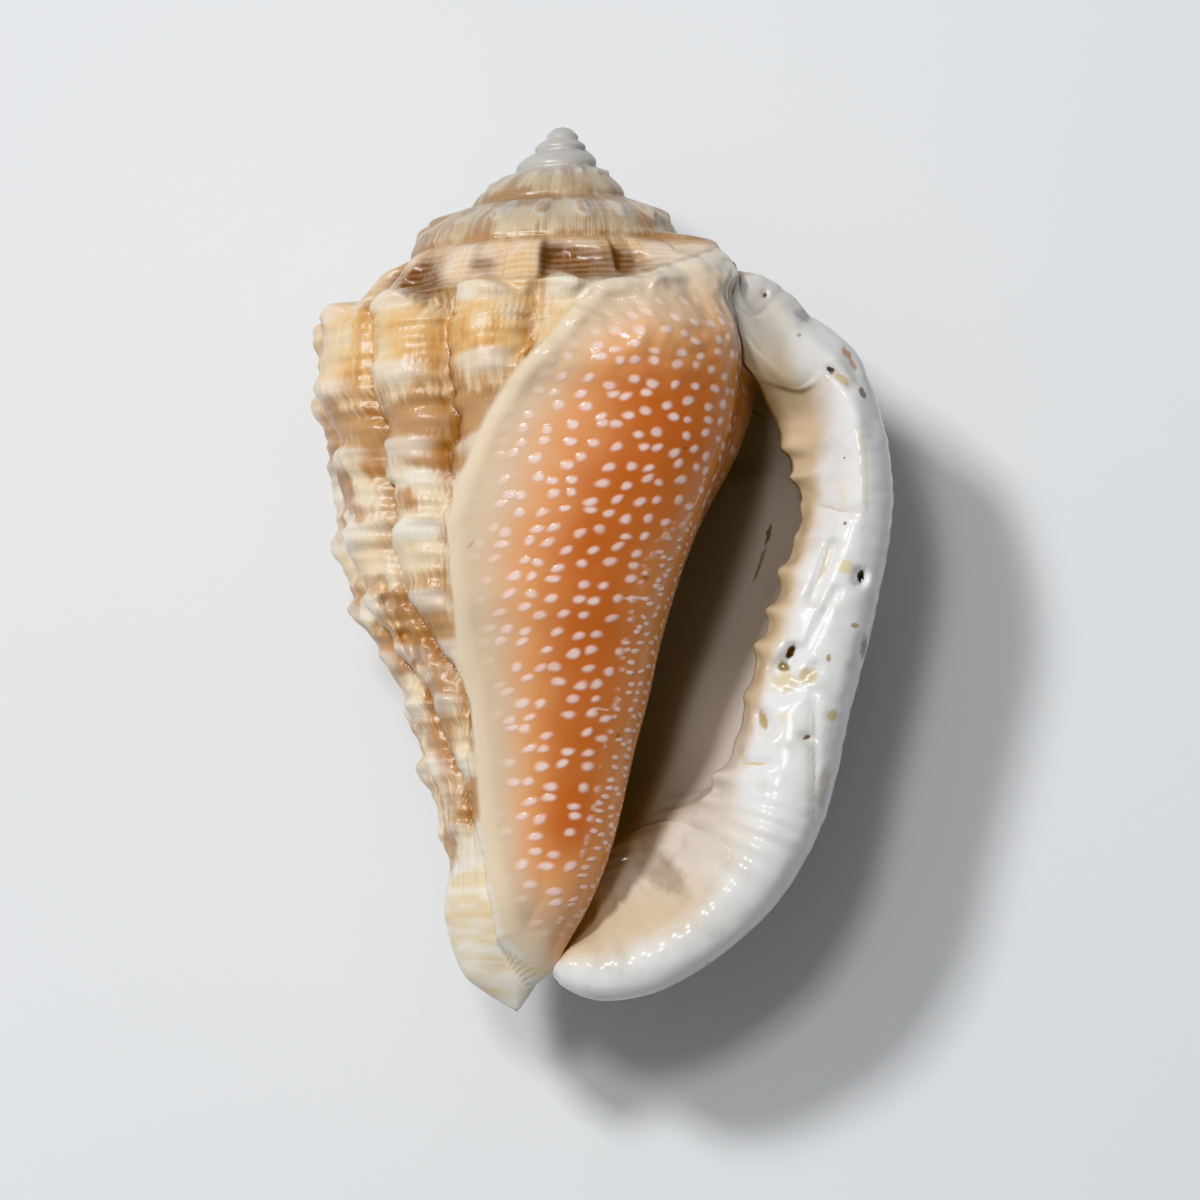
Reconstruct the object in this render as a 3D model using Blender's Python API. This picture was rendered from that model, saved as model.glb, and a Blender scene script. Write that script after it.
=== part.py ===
"""A right-handed sea shell, one solid, lying on its back with its mouth up.

The shell's own coordinates are in millimetres: x to the right, d down the coiling axis from the top point,
and z towards the mouth's side. Angles go round the axis in degrees, the way the shell grew: 0 is the right
side, 90 the mouth's side, 180 the left side and 270 the back.
"""

import bmesh
import bpy
import numpy as np

MM = 0.001

# Driving dimensions
LENGTH = 48.3
FLAT_DEPTH = 12.1
WALL = 1.5
RIB_HEIGHT = 1.3
RAMP_HEIGHT = 0.6
KNOB_HEIGHT = 0.45
SPINE_HEIGHT = 0.35
NODULE_HEIGHT = 0.35
SHIELD_RAISE = 1.3
LOBE_RAISE = 2.2
TOOTH_HEIGHT = 0.4

# The middle of the shell's length and width, which stands on the origin
CENTRE_X = 2.6
CENTRE_D = 0.5 * LENGTH

# Angles where the slices change: the shield's edge, the deep end of the mouth, and the start of the lip
EDGE_ANGLE = 18.0
POCKET_ANGLE = -95.0
WALL_ANGLE = 300.0

# Row depths where the lip starts, and between which the mouth is open
LIP_TOP = 7.4
MOUTH_TOP = 13.2
MOUTH_END = 45.5

# The spire's sutures on the left side, the last two as they would go on, and the cone through the others:
# (d, distance from the axis)
SUTURES = [0.0, 0.7, 1.55, 2.7, 4.8, 7.65, 12.0, 19.5, 28.0]
CONE = [(0.0, 0.3), (0.7, 0.88), (1.55, 1.52), (2.7, 2.6), (4.8, 5.35), (7.65, 8.3), (12.0, 11.6)]

# The left outline between the ribs: (d, distance from the axis)
LEFT = [
    (0.0, 0.3), (0.35, 0.72), (0.6, 0.9), (0.7, 0.88), (0.9, 1.15), (1.35, 1.5), (1.55, 1.5), (1.8, 1.9),
    (2.25, 2.4), (2.7, 2.55), (3.2, 3.4), (4.15, 4.55), (4.8, 4.95), (5.5, 6.15), (6.6, 7.65), (7.65, 8.1),
    (8.6, 8.5), (9.5, 9.2), (10.4, 10.1), (10.9, 11.6), (11.8, 11.75), (15.3, 11.8), (17.4, 11.0),
    (18.9, 10.65),
    (22.9, 10.0), (26.6, 8.9), (29.2, 7.6), (31.9, 6.45), (35.1, 5.55), (38.6, 4.8), (40.2, 4.65),
    (42.9, 4.9), (44.7, 4.5), (46.5, 3.66), (47.3, 2.6), (LENGTH, 0.85),
]
# The other sides, as shares of the left one: (d, share)
FRONT = [
    (8.0, 1.0), (10.6, 0.9), (14.0, 0.9), (20.0, 0.92), (24.0, 0.92), (28.0, 0.96), (32.0, 1.0),
    (36.0, 0.98), (40.0, 0.95), (43.0, 0.83), (LENGTH, 0.72),
]
BACK = [
    (9.0, 1.0), (11.0, 0.9), (14.0, 0.9), (17.0, 0.98), (20.0, 1.09), (23.0, 1.14), (26.0, 1.18),
    (30.0, 1.27), (34.0, 1.27), (38.0, 1.17), (42.0, 1.0), (45.0, 0.85), (LENGTH, 0.72),
]
RIGHT = [
    (9.0, 1.05), (12.0, 1.15), (20.0, 1.3), (28.0, 1.45), (34.0, 1.7), (38.0, 1.85), (42.0, 1.4),
    (45.5, 1.0), (LENGTH, 0.9),
]
# The shield's right edge, along the mouth: (d, x)
EDGE = [
    (7.5, 8.2), (9.0, 9.2), (11.2, 9.9), (14.5, 10.2), (17.0, 9.9), (21.9, 8.1), (26.1, 6.5), (28.3, 5.9),
    (31.7, 5.3), (34.3, 4.65), (37.5, 4.0), (39.1, 3.6), (40.9, 3.0), (42.4, 2.35), (43.5, 1.85),
    (44.6, 1.3), (45.5, 0.9), (46.5, 0.36), (47.3, -0.1), (LENGTH, -0.75),
]
# The middle of the slices, which leans to the left at the lower tip: (d, x)
MIDDLE = [(0.0, 0.0), (38.0, 0.0), (42.0, -0.4), (44.5, -1.1), (46.5, -1.65), (47.3, -1.35), (LENGTH, -0.8)]

# The outer lip, a thick roll: (row depth, x, d, half width, height of its middle, half thickness)
LIP = [
    (LIP_TOP, 9.7, 8.0, 0.6, 4.2, 0.6),
    (8.8, 10.5, 9.2, 1.0, 4.0, 1.0),
    (10.0, 11.6, 10.3, 1.45, 3.8, 1.4),
    (11.2, 12.25, 11.6, 1.9, 3.6, 1.8),
    (13.8, 14.6, 13.9, 2.3, 3.3, 2.1),
    (19.8, 16.15, 20.1, 2.4, 3.0, 2.3),
    (25.4, 15.2, 25.7, 2.65, 2.9, 2.3),
    (30.8, 13.9, 31.1, 2.8, 2.9, 2.3),
    (35.2, 13.0, 35.8, 2.8, 2.9, 2.2),
    (38.6, 11.85, 39.5, 2.45, 2.8, 2.0),
    (40.4, 10.05, 42.3, 2.15, 2.6, 1.8),
    (41.6, 8.1, 44.15, 1.95, 2.4, 1.6),
    (42.8, 5.65, 45.6, 1.85, 2.2, 1.5),
    (43.9, 3.55, 46.1, 1.65, 2.1, 1.4),
    (44.8, 2.0, 46.0, 1.2, 2.0, 1.2),
    (MOUTH_END, 1.0, 45.8, 0.4, 1.6, 0.7),
]
# The shield's margin, seen from the mouth's side: (x, d)
SHIELD = [
    (8.7, 6.6), (5.3, 8.2), (1.8, 9.7), (0.7, 11.1), (-0.4, 13.0), (-1.6, 14.4), (-3.3, 17.2), (-4.1, 19.9),
    (-5.0, 23.0), (-4.3, 28.9), (-3.5, 31.2), (-3.1, 34.1), (-2.6, 38.1), (-2.1, 41.7), (-1.6, 44.6),
    (0.0, 46.5), (12.0, 46.5), (12.0, 6.6),
]
# How far a slice reaches at some angles, as a share of the mean of two of its outlines: (angle, one outline,
# the other, share where the mouth is shut, what the open mouth adds to the share)
PROFILE = [
    (-95.0, "edge", "edge", 1.0, -0.28),
    (-60.0, "edge", "edge", 1.0, -0.22),
    (-30.0, "edge", "edge", 1.0, -0.12),
    (0.0, "edge", "edge", 1.0, -0.02),
    (22.0, "edge", "edge", 1.0, 0.06),
    (52.0, "edge", "front", 1.0, 0.1),
    (90.0, "front", "front", 1.0, 0.0),
    (135.0, "front", "left", 1.01, 0.0),
    (180.0, "left", "left", 1.0, 0.0),
    (225.0, "left", "back", 1.01, 0.0),
    (270.0, "back", "back", 1.0, 0.0),
    (310.0, "back", "right", 1.0, 0.0),
    (345.0, "right", "right", 1.0, 0.0),
]
# The shield's top right corner, a small lobe: its angle and width, and the depths where it starts and fades
LOBE_ANGLE = (23.0, 16.0)
LOBE_START = (5.95, 6.4)
LOBE_FADE = (7.2, 10.5)

# The angles of the ribs on the last whorl, and on the whorl before it under the shield
RIBS = [
    -45.0, -19.0, 7.0, 32.0, 58.0, 84.0, 110.0, 136.0, 164.0, 193.0, 222.0, 253.0, 284.0, 312.0, 340.0, 366.0,
]
# The main spiral cords, which raise a knob on each rib, by their depth on the left side
CORDS = [11.2, 15.5, 19.0, 23.1, 26.8, 29.4, 32.1, 35.3, 38.8]

# Below the shoulder a rib is an arch between two narrow grooves, and this is how round; on the ramp it has a
# steep flank and a gentle one, here as shares of the space to the next rib
RIB_ROUND = 2.2
RIB_FLANKS = (0.12, 0.85)
# On the spire one nodule is at this angle, and the next ones this far apart
NODULES = (158.0, 20.0)
# Depths on the left side between which the ribs start on the ramp, rise at the shoulder, flatten, and end
RIB_START = (7.6, 8.6)
RIB_SHOULDER = (10.4, 10.9)
RIB_FLATTEN = (24.0, 38.0)
RIB_END = (38.0, 41.0)
# What is left of a rib's height where it has flattened
FLAT_SHARE = 0.35
# How far a knob reaches above and below its cord, and a spine from the shoulder
KNOB_REACH = (0.55, 1.1)
SPINE_REACH = 0.7
# Depths between which the spire's nodules grow and end, and angles between which the ribs end at the lip
NODULE_START = (2.5, 5.0)
NODULE_END = (7.0, 8.0)
LIP_RIBS_END = (330.0, 350.0)
# Half the width of the shield's rounded margin, and the angle where it has its full height
MARGIN = 0.6
SHIELD_FULL_ANGLE = 45.0

# The teeth along the lip's inner edge: the first one's row depth, their spacing, and where they start
TEETH = (16.6, 2.35)
TEETH_START = (14.0, 17.0)
# The depths over which the mouth opens and shuts, and the lip parts from the body and joins it
MOUTH_EASE = (3.2, 4.5)
LIP_EASE = (1.2, 0.5)
# The lower end of the mouth is a shallow trough: where it starts and is full, and how far its floor is raised
TROUGH = (33.0, 41.0)
TROUGH_RAISE = 1.6
# Where the slant of the whorls starts at the top point, and fades on the last whorl
SLANT_START = (0.6, 1.5)
SLANT_FADE = (12.0, 22.0)
# Where the slices leave the cone of the spire, and where the shield's edge sets their right side
CONE_FADE = (11.0, 13.0)
EDGE_START = (7.4, 9.0)

# How finely the mesh is divided: columns, and (from row depth, to row depth, rows)
BODY_COLUMNS = 49
WALL_COLUMNS = 18
POCKET_COLUMNS = 7
ROWS = [
    (0.25, LIP_TOP, 15), (LIP_TOP, RIB_SHOULDER[0], 6), (*RIB_SHOULDER, 1), (RIB_SHOULDER[1], MOUTH_TOP, 4),
    (MOUTH_TOP, MOUTH_END, 34), (MOUTH_END, 48.0, 4),
]


def hermite(x, y, slope, at):
    """The smooth curve with given slopes, read at many places. y and slope may have a column for each."""
    i = np.clip(np.searchsorted(x, at, side="right") - 1, 0, len(x) - 2)
    column = (np.arange(len(at)),) if y.ndim > 1 else ()
    step = x[i + 1] - x[i]
    t = (at - x[i]) / step
    return (
        y[(i, *column)] * (1 + 2 * t) * (1 - t) ** 2
        + slope[(i, *column)] * step * t * (1 - t) ** 2
        + y[(i + 1, *column)] * t * t * (3 - 2 * t)
        + slope[(i + 1, *column)] * step * t * t * (t - 1)
    )


def through(points, at):
    """A smooth curve with no overshoot through (x, y) points, read at the given x."""
    x, y = np.array(points, float).T
    at = np.clip(np.asarray(at, float), x[0], x[-1])
    step = np.diff(x)
    rise = np.diff(y) / step
    slope = np.concatenate([rise[:1], np.zeros(len(x) - 2), rise[-1:]])
    same = np.flatnonzero(rise[:-1] * rise[1:] > 0)
    first = 2 * step[same + 1] + step[same]
    second = step[same + 1] + 2 * step[same]
    slope[same + 1] = (first + second) / (first / rise[same] + second / rise[same + 1])
    return hermite(x, y, slope, at.ravel()).reshape(at.shape)


def ease(low, high, value):
    """0 below low, 1 above high, smooth between them."""
    t = np.clip((np.asarray(value, float) - low) / (high - low), 0, 1)
    return t * t * (3 - 2 * t)


def left_depth(angle, d):
    """The depth on the left side of the point that lies as far down its own whorl."""
    turns = np.arange(len(SUTURES), dtype=float)
    count = np.interp(d, SUTURES, turns) - (angle - 180) / 360
    helical = np.interp(count, turns, SUTURES)
    return d + (helical - d) * ease(*SLANT_START, d) * (1 - ease(*SLANT_FADE, d))


def radius(angle, d):
    """Distance from the slice's middle to the surface between the ribs, at one depth."""
    cone_d, cone_r = np.array(CONE).T
    level = left_depth(angle, d)
    grown = np.interp(d, cone_d, cone_r) / np.interp(level, cone_d, cone_r)
    middle = through(MIDDLE, d)
    left = through(LEFT, level) * (grown + (1 - grown) * ease(*CONE_FADE, d)) + middle
    outline = {
        "left": left,
        "front": left * through(FRONT, d),
        "back": left * through(BACK, d),
        "right": left * through(RIGHT, d),
        "edge": left + (through(EDGE, d) - middle - left) * ease(*EDGE_START, d),
    }
    mouth = ease(LIP_TOP, MOUTH_TOP, d)
    angles = np.array([key[0] for key in PROFILE])
    table = np.array([
        0.5 * (outline[one] + outline[other]) * (share + more * mouth)
        for _, one, other, share, more in PROFILE
    ])
    nearest = angle - 360 * np.round(angle / 360)
    lobe = np.exp(-(((nearest - LOBE_ANGLE[0]) / LOBE_ANGLE[1]) ** 2))
    lobe *= ease(*LOBE_START, d) * (1 - ease(*LOBE_FADE, d))
    return hermite(angles, table, np.gradient(table, angles, axis=0), angle) + LOBE_RAISE * lobe


def around(angle, d, inward=0.0):
    """Points (x, d, z) of a slice at the given angles."""
    r = radius(angle, d) - inward
    turn = np.radians(angle)
    x = through(MIDDLE, d) + r * np.cos(turn)
    return np.stack([x, np.full(len(angle), float(d)), r * np.sin(turn)], axis=1)


def spline(points, count):
    """count + 1 points evenly spread along a smooth curve through the given points."""
    points = np.array(points)
    length = np.concatenate([[0], np.cumsum(np.linalg.norm(np.diff(points, axis=0), axis=1))])
    slope = np.gradient(points, length, axis=0)
    at = np.linspace(0, length[-1], count + 1)
    return np.stack([hermite(length, points[:, k], slope[:, k], at) for k in range(3)], axis=1)


def lip(row):
    """The roll's middle, the direction out of the mouth, its half width and its half thickness."""
    table = np.array(LIP)
    x, d, width, z, thick = (through(table[:, [0, k]], row) for k in range(1, 6))
    near = 0.05
    along_x = through(table[:, [0, 1]], row + near) - through(table[:, [0, 1]], row - near)
    along_d = through(table[:, [0, 2]], row + near) - through(table[:, [0, 2]], row - near)
    out = np.array([along_d, -along_x, 0.0])
    return np.array([x, d, z]), out / (np.linalg.norm(out) + 1e-9), float(width), float(thick)


def opening(row):
    """0 where the mouth is shut at its two ends, 1 where it is open."""
    top = np.clip((row - MOUTH_TOP) / MOUTH_EASE[0], 0, 1)
    end = np.clip((MOUTH_END - row) / MOUTH_EASE[1], 0, 1)
    return float(np.sqrt(1 - (1 - top) ** 2) * np.sqrt(1 - (1 - end) ** 2))


def slice_points(row):
    """One slice: its outside from the shield's edge round to the lip, and the two walls of the mouth."""
    body = around(np.linspace(EDGE_ANGLE, WALL_ANGLE, BODY_COLUMNS + 1), row)
    plain = around(np.linspace(WALL_ANGLE, 360 + EDGE_ANGLE, WALL_COLUMNS + 1) - 360, row)
    centre, out, width, thick = lip(row)
    up = np.array([0.0, 0.0, 1.0])
    edge = body[0]
    open_share = opening(row)
    wave = np.cos(2 * np.pi * (row - TEETH[0]) / TEETH[1])
    tooth = TOOTH_HEIGHT * max(0.0, wave) * float(ease(*TEETH_START, row))
    inner_edge = centre - (width + tooth) * out - 0.1 * thick * up
    keys = [
        *around(np.array([WALL_ANGLE, WALL_ANGLE + 17]), row),
        centre + 0.8 * width * out - 0.75 * thick * up,
        centre + width * out,
        centre + 0.7 * width * out + 0.75 * thick * up,
        centre + thick * up,
        centre - 0.7 * width * out + 0.7 * thick * up,
        edge + open_share * (inner_edge - edge),
    ]
    with_lip = spline(keys, WALL_COLUMNS)
    share = ease(LIP_TOP, LIP_TOP + LIP_EASE[0], row) * (1 - ease(MOUTH_END, MOUTH_END + LIP_EASE[1], row))
    outside = np.vstack([body, (plain * (1 - share) + with_lip * share)[1:]])
    if row < MOUTH_TOP or row > MOUTH_END:
        return outside, None, None
    trough = float(ease(*TROUGH, row))
    hidden = centre - (0.75 + 0.9 * trough) * width * out - (0.9 + 0.2 * trough) * thick * up
    wall = WALL + TROUGH_RAISE * trough
    inner_keys = [inner_edge, hidden, *around(np.array([330.0, 312.0, 295.0, 280.0, 265.0]), row, wall)]
    inner = spline(inner_keys, POCKET_COLUMNS)
    outer = around(np.linspace(EDGE_ANGLE, POCKET_ANGLE, POCKET_COLUMNS + 1), row)
    shut = 0.5 * (inner + outer)
    inner = shut + open_share * (inner - shut)
    outer = shut + open_share * (outer - shut)
    inner[0] = outside[-1]
    outer[0] = outside[0]
    return outside, inner, outer


def outline_distance(outline, x, y):
    """How far points are inside a closed outline; negative outside it."""
    ends = np.array(outline)
    nearest = np.full(x.shape, 1e9)
    inside = np.zeros(x.shape, bool)
    for (ax, ay), (bx, by) in zip(ends, np.roll(ends, -1, axis=0)):
        t = np.clip(((x - ax) * (bx - ax) + (y - ay) * (by - ay)) / ((bx - ax) ** 2 + (by - ay) ** 2), 0, 1)
        nearest = np.minimum(nearest, np.hypot(x - ax - t * (bx - ax), y - ay - t * (by - ay)))
        if ay != by:
            inside ^= ((ay > y) != (by > y)) & (x < ax + (y - ay) * (bx - ax) / (by - ay))
    return np.where(inside, nearest, -nearest)


def relief(outside, rows):
    """How far each point of the outside stands proud: ribs, knobs, the shoulder's spines and the shield."""
    count = outside.shape[1] - 1
    angle = np.concatenate([
        np.linspace(EDGE_ANGLE, WALL_ANGLE, BODY_COLUMNS + 1),
        np.linspace(WALL_ANGLE, 375, count - BODY_COLUMNS + 1)[1:],
    ])
    phase = np.interp(angle, RIBS, np.arange(len(RIBS)))
    beside = phase - np.round(phase)
    before_lip = 1 - ease(*LIP_RIBS_END, angle)
    arch = (1 - np.abs(2 * beside) ** RIB_ROUND) * before_lip
    step = np.clip(np.where(beside < 0, -beside / RIB_FLANKS[0], beside / RIB_FLANKS[1]), 0, 1)
    step = (0.5 + 0.5 * np.cos(np.pi * step)) * before_lip
    nodule = 0.5 + 0.5 * np.cos(2 * np.pi * (angle - NODULES[0]) / NODULES[1])
    raised = np.zeros(outside.shape[:2])
    for i, row in enumerate(rows):
        level = left_depth(angle, row)
        shoulder = ease(*RIB_SHOULDER, level)
        end = 1 - ease(*RIB_END, level)
        height = RIB_HEIGHT * (1 - (1 - FLAT_SHARE) * ease(*RIB_FLATTEN, level)) * end
        knob = np.zeros(len(angle))
        for cord in CORDS:
            reach = np.where(level < cord, *KNOB_REACH)
            knob = np.maximum(knob, np.exp(-(((level - cord) / reach) ** 2)))
        spine = np.exp(-(((level - CORDS[0]) / SPINE_REACH) ** 2))
        on_rib = (height + KNOB_HEIGHT * knob * end) * shoulder + SPINE_HEIGHT * spine
        on_ramp = RAMP_HEIGHT * ease(*RIB_START, level) * (1 - shoulder)
        on_spire = NODULE_HEIGHT * ease(*NODULE_START, level) * (1 - ease(*NODULE_END, level))
        ribs = arch * on_rib + step * on_ramp + nodule * on_spire
        x, z = outside[i, :, 0], outside[i, :, 2]
        margin = ease(-MARGIN, MARGIN, outline_distance(SHIELD, x, np.full(len(x), row)))
        shield = margin * (z > 0) * (angle < 200)
        raised[i] = ribs * (1 - shield)
        raised[i] += SHIELD_RAISE * shield * ease(EDGE_ANGLE, SHIELD_FULL_ANGLE, angle)
    return raised


def shell_grid():
    """All slices as one grid: rows, the outside's points, and the mouth's walls where it is open."""
    rows = np.concatenate([np.linspace(a, b, n, endpoint=False) for a, b, n in ROWS] + [[ROWS[-1][1]]])
    slices = [slice_points(row) for row in rows]
    outside = np.array([s[0] for s in slices])
    outward = outside - np.stack([through(MIDDLE, rows), rows, 0 * rows], axis=1)[:, None]
    outward[..., 1] = 0
    outward /= np.linalg.norm(outward, axis=2, keepdims=True)
    outside = outside + outward * relief(outside, rows)[..., None]
    return rows, outside, [s[1] for s in slices], [s[2] for s in slices]


def build_shell():
    """The whole shell as one closed mesh, in metres, standing on the origin."""
    rows, outside, inner, outer = shell_grid()
    shell = bmesh.new()

    def vertex(point):
        x, d, z = (float(value) for value in point)
        return shell.verts.new(
            ((x - CENTRE_X) * MM, (CENTRE_D - d) * MM, (max(z, -FLAT_DEPTH) + FLAT_DEPTH) * MM)
        )

    def strip(one, two):
        for corners in zip(one, one[1:], two[1:], two):
            corners = list(dict.fromkeys(corners))
            if len(corners) > 2:
                shell.faces.new(corners)

    rings = []
    walls = []
    for i, row in enumerate(rows):
        ring = [vertex(point) for point in outside[i, :-1]]
        if inner[i] is None:
            ring.append(ring[0])
            wall = None
        elif opening(row) == 0:
            ring.append(ring[0])
            line = [vertex(point) for point in inner[i][1:]]
            wall = [ring[0], *line, *line[::-1], ring[0]]
        else:
            ring.append(vertex(outside[i, -1]))
            line = [vertex(point) for point in inner[i][1:]]
            back = [vertex(point) for point in outer[i][:0:-1]]
            wall = [ring[-1], *line, *back, ring[0]]
        rings.append(ring)
        walls.append(wall)
    for i in range(len(rows) - 1):
        strip(rings[i], rings[i + 1])
        if walls[i] and walls[i + 1]:
            strip(walls[i], walls[i + 1])
    top = vertex((0.0, 0.0, 0.0))
    tip = vertex((through(MIDDLE, LENGTH), LENGTH, 0.0))
    strip([top] * len(rings[0]), rings[0])
    strip(rings[-1], [tip] * len(rings[-1]))
    bmesh.ops.triangulate(shell, faces=shell.faces)
    bmesh.ops.recalc_face_normals(shell, faces=shell.faces)
    return shell


def shell_material():
    material = bpy.data.materials.new("shell")
    material.use_nodes = True
    surface = material.node_tree.nodes["Principled BSDF"]
    surface.inputs["Base Color"].default_value = (0.80, 0.60, 0.42, 1.0)
    surface.inputs["Roughness"].default_value = 0.35
    surface.inputs["Metallic"].default_value = 0.0
    return material


def main():
    for item in list(bpy.data.objects):
        bpy.data.objects.remove(item, do_unlink=True)
    mesh = bpy.data.meshes.new("shell")
    shell = build_shell()
    shell.to_mesh(mesh)
    shell.free()
    mesh.materials.append(shell_material())
    mesh.shade_smooth()
    mesh.set_sharp_from_angle(angle=np.radians(50))
    bpy.context.scene.collection.objects.link(bpy.data.objects.new("shell", mesh))


main()
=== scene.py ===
"""The visual model of a sea shell: one closed mesh with its fine relief, and its procedural material.

The shell's own coordinates are in millimetres: x to the right, d down the coiling axis from the top point,
and z towards the mouth's side. Angles go round the axis in degrees, the way the shell grew: 0 is the right
side, 90 the mouth's side, 180 the left side and 270 the back.
"""

import bpy
import numpy as np
from mathutils import Matrix, Vector


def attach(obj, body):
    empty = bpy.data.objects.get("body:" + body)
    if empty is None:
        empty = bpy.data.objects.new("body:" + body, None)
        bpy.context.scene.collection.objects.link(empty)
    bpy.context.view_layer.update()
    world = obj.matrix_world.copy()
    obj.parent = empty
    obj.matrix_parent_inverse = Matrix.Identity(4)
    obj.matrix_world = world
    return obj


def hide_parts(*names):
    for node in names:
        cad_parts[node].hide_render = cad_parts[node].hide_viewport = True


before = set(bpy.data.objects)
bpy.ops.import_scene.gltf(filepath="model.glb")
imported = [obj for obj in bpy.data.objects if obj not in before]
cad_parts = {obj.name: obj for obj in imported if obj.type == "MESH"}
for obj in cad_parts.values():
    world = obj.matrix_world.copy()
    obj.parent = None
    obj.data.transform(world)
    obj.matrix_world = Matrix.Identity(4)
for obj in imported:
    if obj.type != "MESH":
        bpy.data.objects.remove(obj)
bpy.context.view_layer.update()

MM = 0.001

# Driving dimensions, the same as the CAD's
LENGTH = 48.3
FLAT_DEPTH = 12.1
WALL = 1.5
RIB_HEIGHT = 1.3
RAMP_HEIGHT = 0.6
KNOB_HEIGHT = 0.45
SPINE_HEIGHT = 0.35
NODULE_HEIGHT = 0.35
SHIELD_RAISE = 1.3
LOBE_RAISE = 2.2

# The middle of the shell's length and width, which stands on the origin
CENTRE_X = 2.6
CENTRE_D = 0.5 * LENGTH

# Angles where the slices change: the shield's edge, the deep end of the mouth, and the start of the lip
EDGE_ANGLE = 18.0
POCKET_ANGLE = -95.0
WALL_ANGLE = 300.0

# Row depths where the lip starts, and between which the mouth is open
LIP_TOP = 7.4
MOUTH_TOP = 13.2
MOUTH_END = 45.5

# The spire's sutures on the left side, the last two as they would go on, and the cone through the others:
# (d, distance from the axis)
SUTURES = [0.0, 0.7, 1.55, 2.7, 4.8, 7.65, 12.0, 19.5, 28.0]
CONE = [(0.0, 0.3), (0.7, 0.88), (1.55, 1.52), (2.7, 2.6), (4.8, 5.35), (7.65, 8.3), (12.0, 11.6)]

# The left outline between the ribs: (d, distance from the axis)
LEFT = [
    (0.0, 0.3), (0.35, 0.72), (0.6, 0.9), (0.7, 0.88), (0.9, 1.15), (1.35, 1.5), (1.55, 1.5), (1.8, 1.9),
    (2.25, 2.4), (2.7, 2.55), (3.2, 3.4), (4.15, 4.55), (4.8, 4.95), (5.5, 6.15), (6.6, 7.65), (7.65, 8.1),
    (8.6, 8.5), (9.5, 9.2), (10.4, 10.1), (10.9, 11.6), (11.8, 11.75), (15.3, 11.8), (17.4, 11.0),
    (18.9, 10.65),
    (22.9, 10.0), (26.6, 8.9), (29.2, 7.6), (31.9, 6.45), (35.1, 5.55), (38.6, 4.8), (40.2, 4.65),
    (42.9, 4.9), (44.7, 4.5), (46.5, 3.66), (47.3, 2.6), (LENGTH, 0.85),
]
# The other sides, as shares of the left one: (d, share)
FRONT = [
    (8.0, 1.0), (10.6, 0.9), (14.0, 0.9), (20.0, 0.92), (24.0, 0.92), (28.0, 0.96), (32.0, 1.0),
    (36.0, 0.98), (40.0, 0.95), (43.0, 0.83), (LENGTH, 0.72),
]
BACK = [
    (9.0, 1.0), (11.0, 0.9), (14.0, 0.9), (17.0, 0.98), (20.0, 1.09), (23.0, 1.14), (26.0, 1.18),
    (30.0, 1.27), (34.0, 1.27), (38.0, 1.17), (42.0, 1.0), (45.0, 0.85), (LENGTH, 0.72),
]
RIGHT = [
    (9.0, 1.05), (12.0, 1.15), (20.0, 1.3), (28.0, 1.45), (34.0, 1.7), (38.0, 1.85), (42.0, 1.4),
    (45.5, 1.0), (LENGTH, 0.9),
]
# The shield's right edge, along the mouth: (d, x)
EDGE = [
    (7.5, 8.2), (9.0, 9.2), (11.2, 9.9), (14.5, 10.2), (17.0, 9.9), (21.9, 8.1), (26.1, 6.5), (28.3, 5.9),
    (31.7, 5.3), (34.3, 4.65), (37.5, 4.0), (39.1, 3.6), (40.9, 3.0), (42.4, 2.35), (43.5, 1.85),
    (44.6, 1.3), (45.5, 0.9), (46.5, 0.36), (47.3, -0.1), (LENGTH, -0.75),
]
# The middle of the slices, which leans to the left at the lower tip: (d, x)
MIDDLE = [(0.0, 0.0), (38.0, 0.0), (42.0, -0.4), (44.5, -1.1), (46.5, -1.65), (47.3, -1.35), (LENGTH, -0.8)]

# The outer lip, a thick roll: (row depth, x, d, half width, height of its middle, half thickness)
LIP = [
    (LIP_TOP, 9.7, 8.0, 0.6, 4.2, 0.6),
    (8.8, 10.5, 9.2, 1.0, 4.0, 1.0),
    (10.0, 11.6, 10.3, 1.45, 3.8, 1.4),
    (11.2, 12.25, 11.6, 1.9, 3.6, 1.8),
    (13.8, 14.6, 13.9, 2.3, 3.3, 2.1),
    (19.8, 16.15, 20.1, 2.4, 3.0, 2.3),
    (25.4, 15.2, 25.7, 2.65, 2.9, 2.3),
    (30.8, 13.9, 31.1, 2.8, 2.9, 2.3),
    (35.2, 13.0, 35.8, 2.8, 2.9, 2.2),
    (38.6, 11.85, 39.5, 2.45, 2.8, 2.0),
    (40.4, 10.05, 42.3, 2.15, 2.6, 1.8),
    (41.6, 8.1, 44.15, 1.95, 2.4, 1.6),
    (42.8, 5.65, 45.6, 1.85, 2.2, 1.5),
    (43.9, 3.55, 46.1, 1.65, 2.1, 1.4),
    (44.8, 2.0, 46.0, 1.2, 2.0, 1.2),
    (MOUTH_END, 1.0, 45.8, 0.4, 1.6, 0.7),
]
# The shield's margin, seen from the mouth's side: (x, d)
SHIELD = [
    (8.7, 6.6), (5.3, 8.2), (1.8, 9.7), (0.7, 11.1), (-0.4, 13.0), (-1.6, 14.4), (-3.3, 17.2), (-4.1, 19.9),
    (-5.0, 23.0), (-4.3, 28.9), (-3.5, 31.2), (-3.1, 34.1), (-2.6, 38.1), (-2.1, 41.7), (-1.6, 44.6),
    (0.0, 46.5), (12.0, 46.5), (12.0, 6.6),
]
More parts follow.
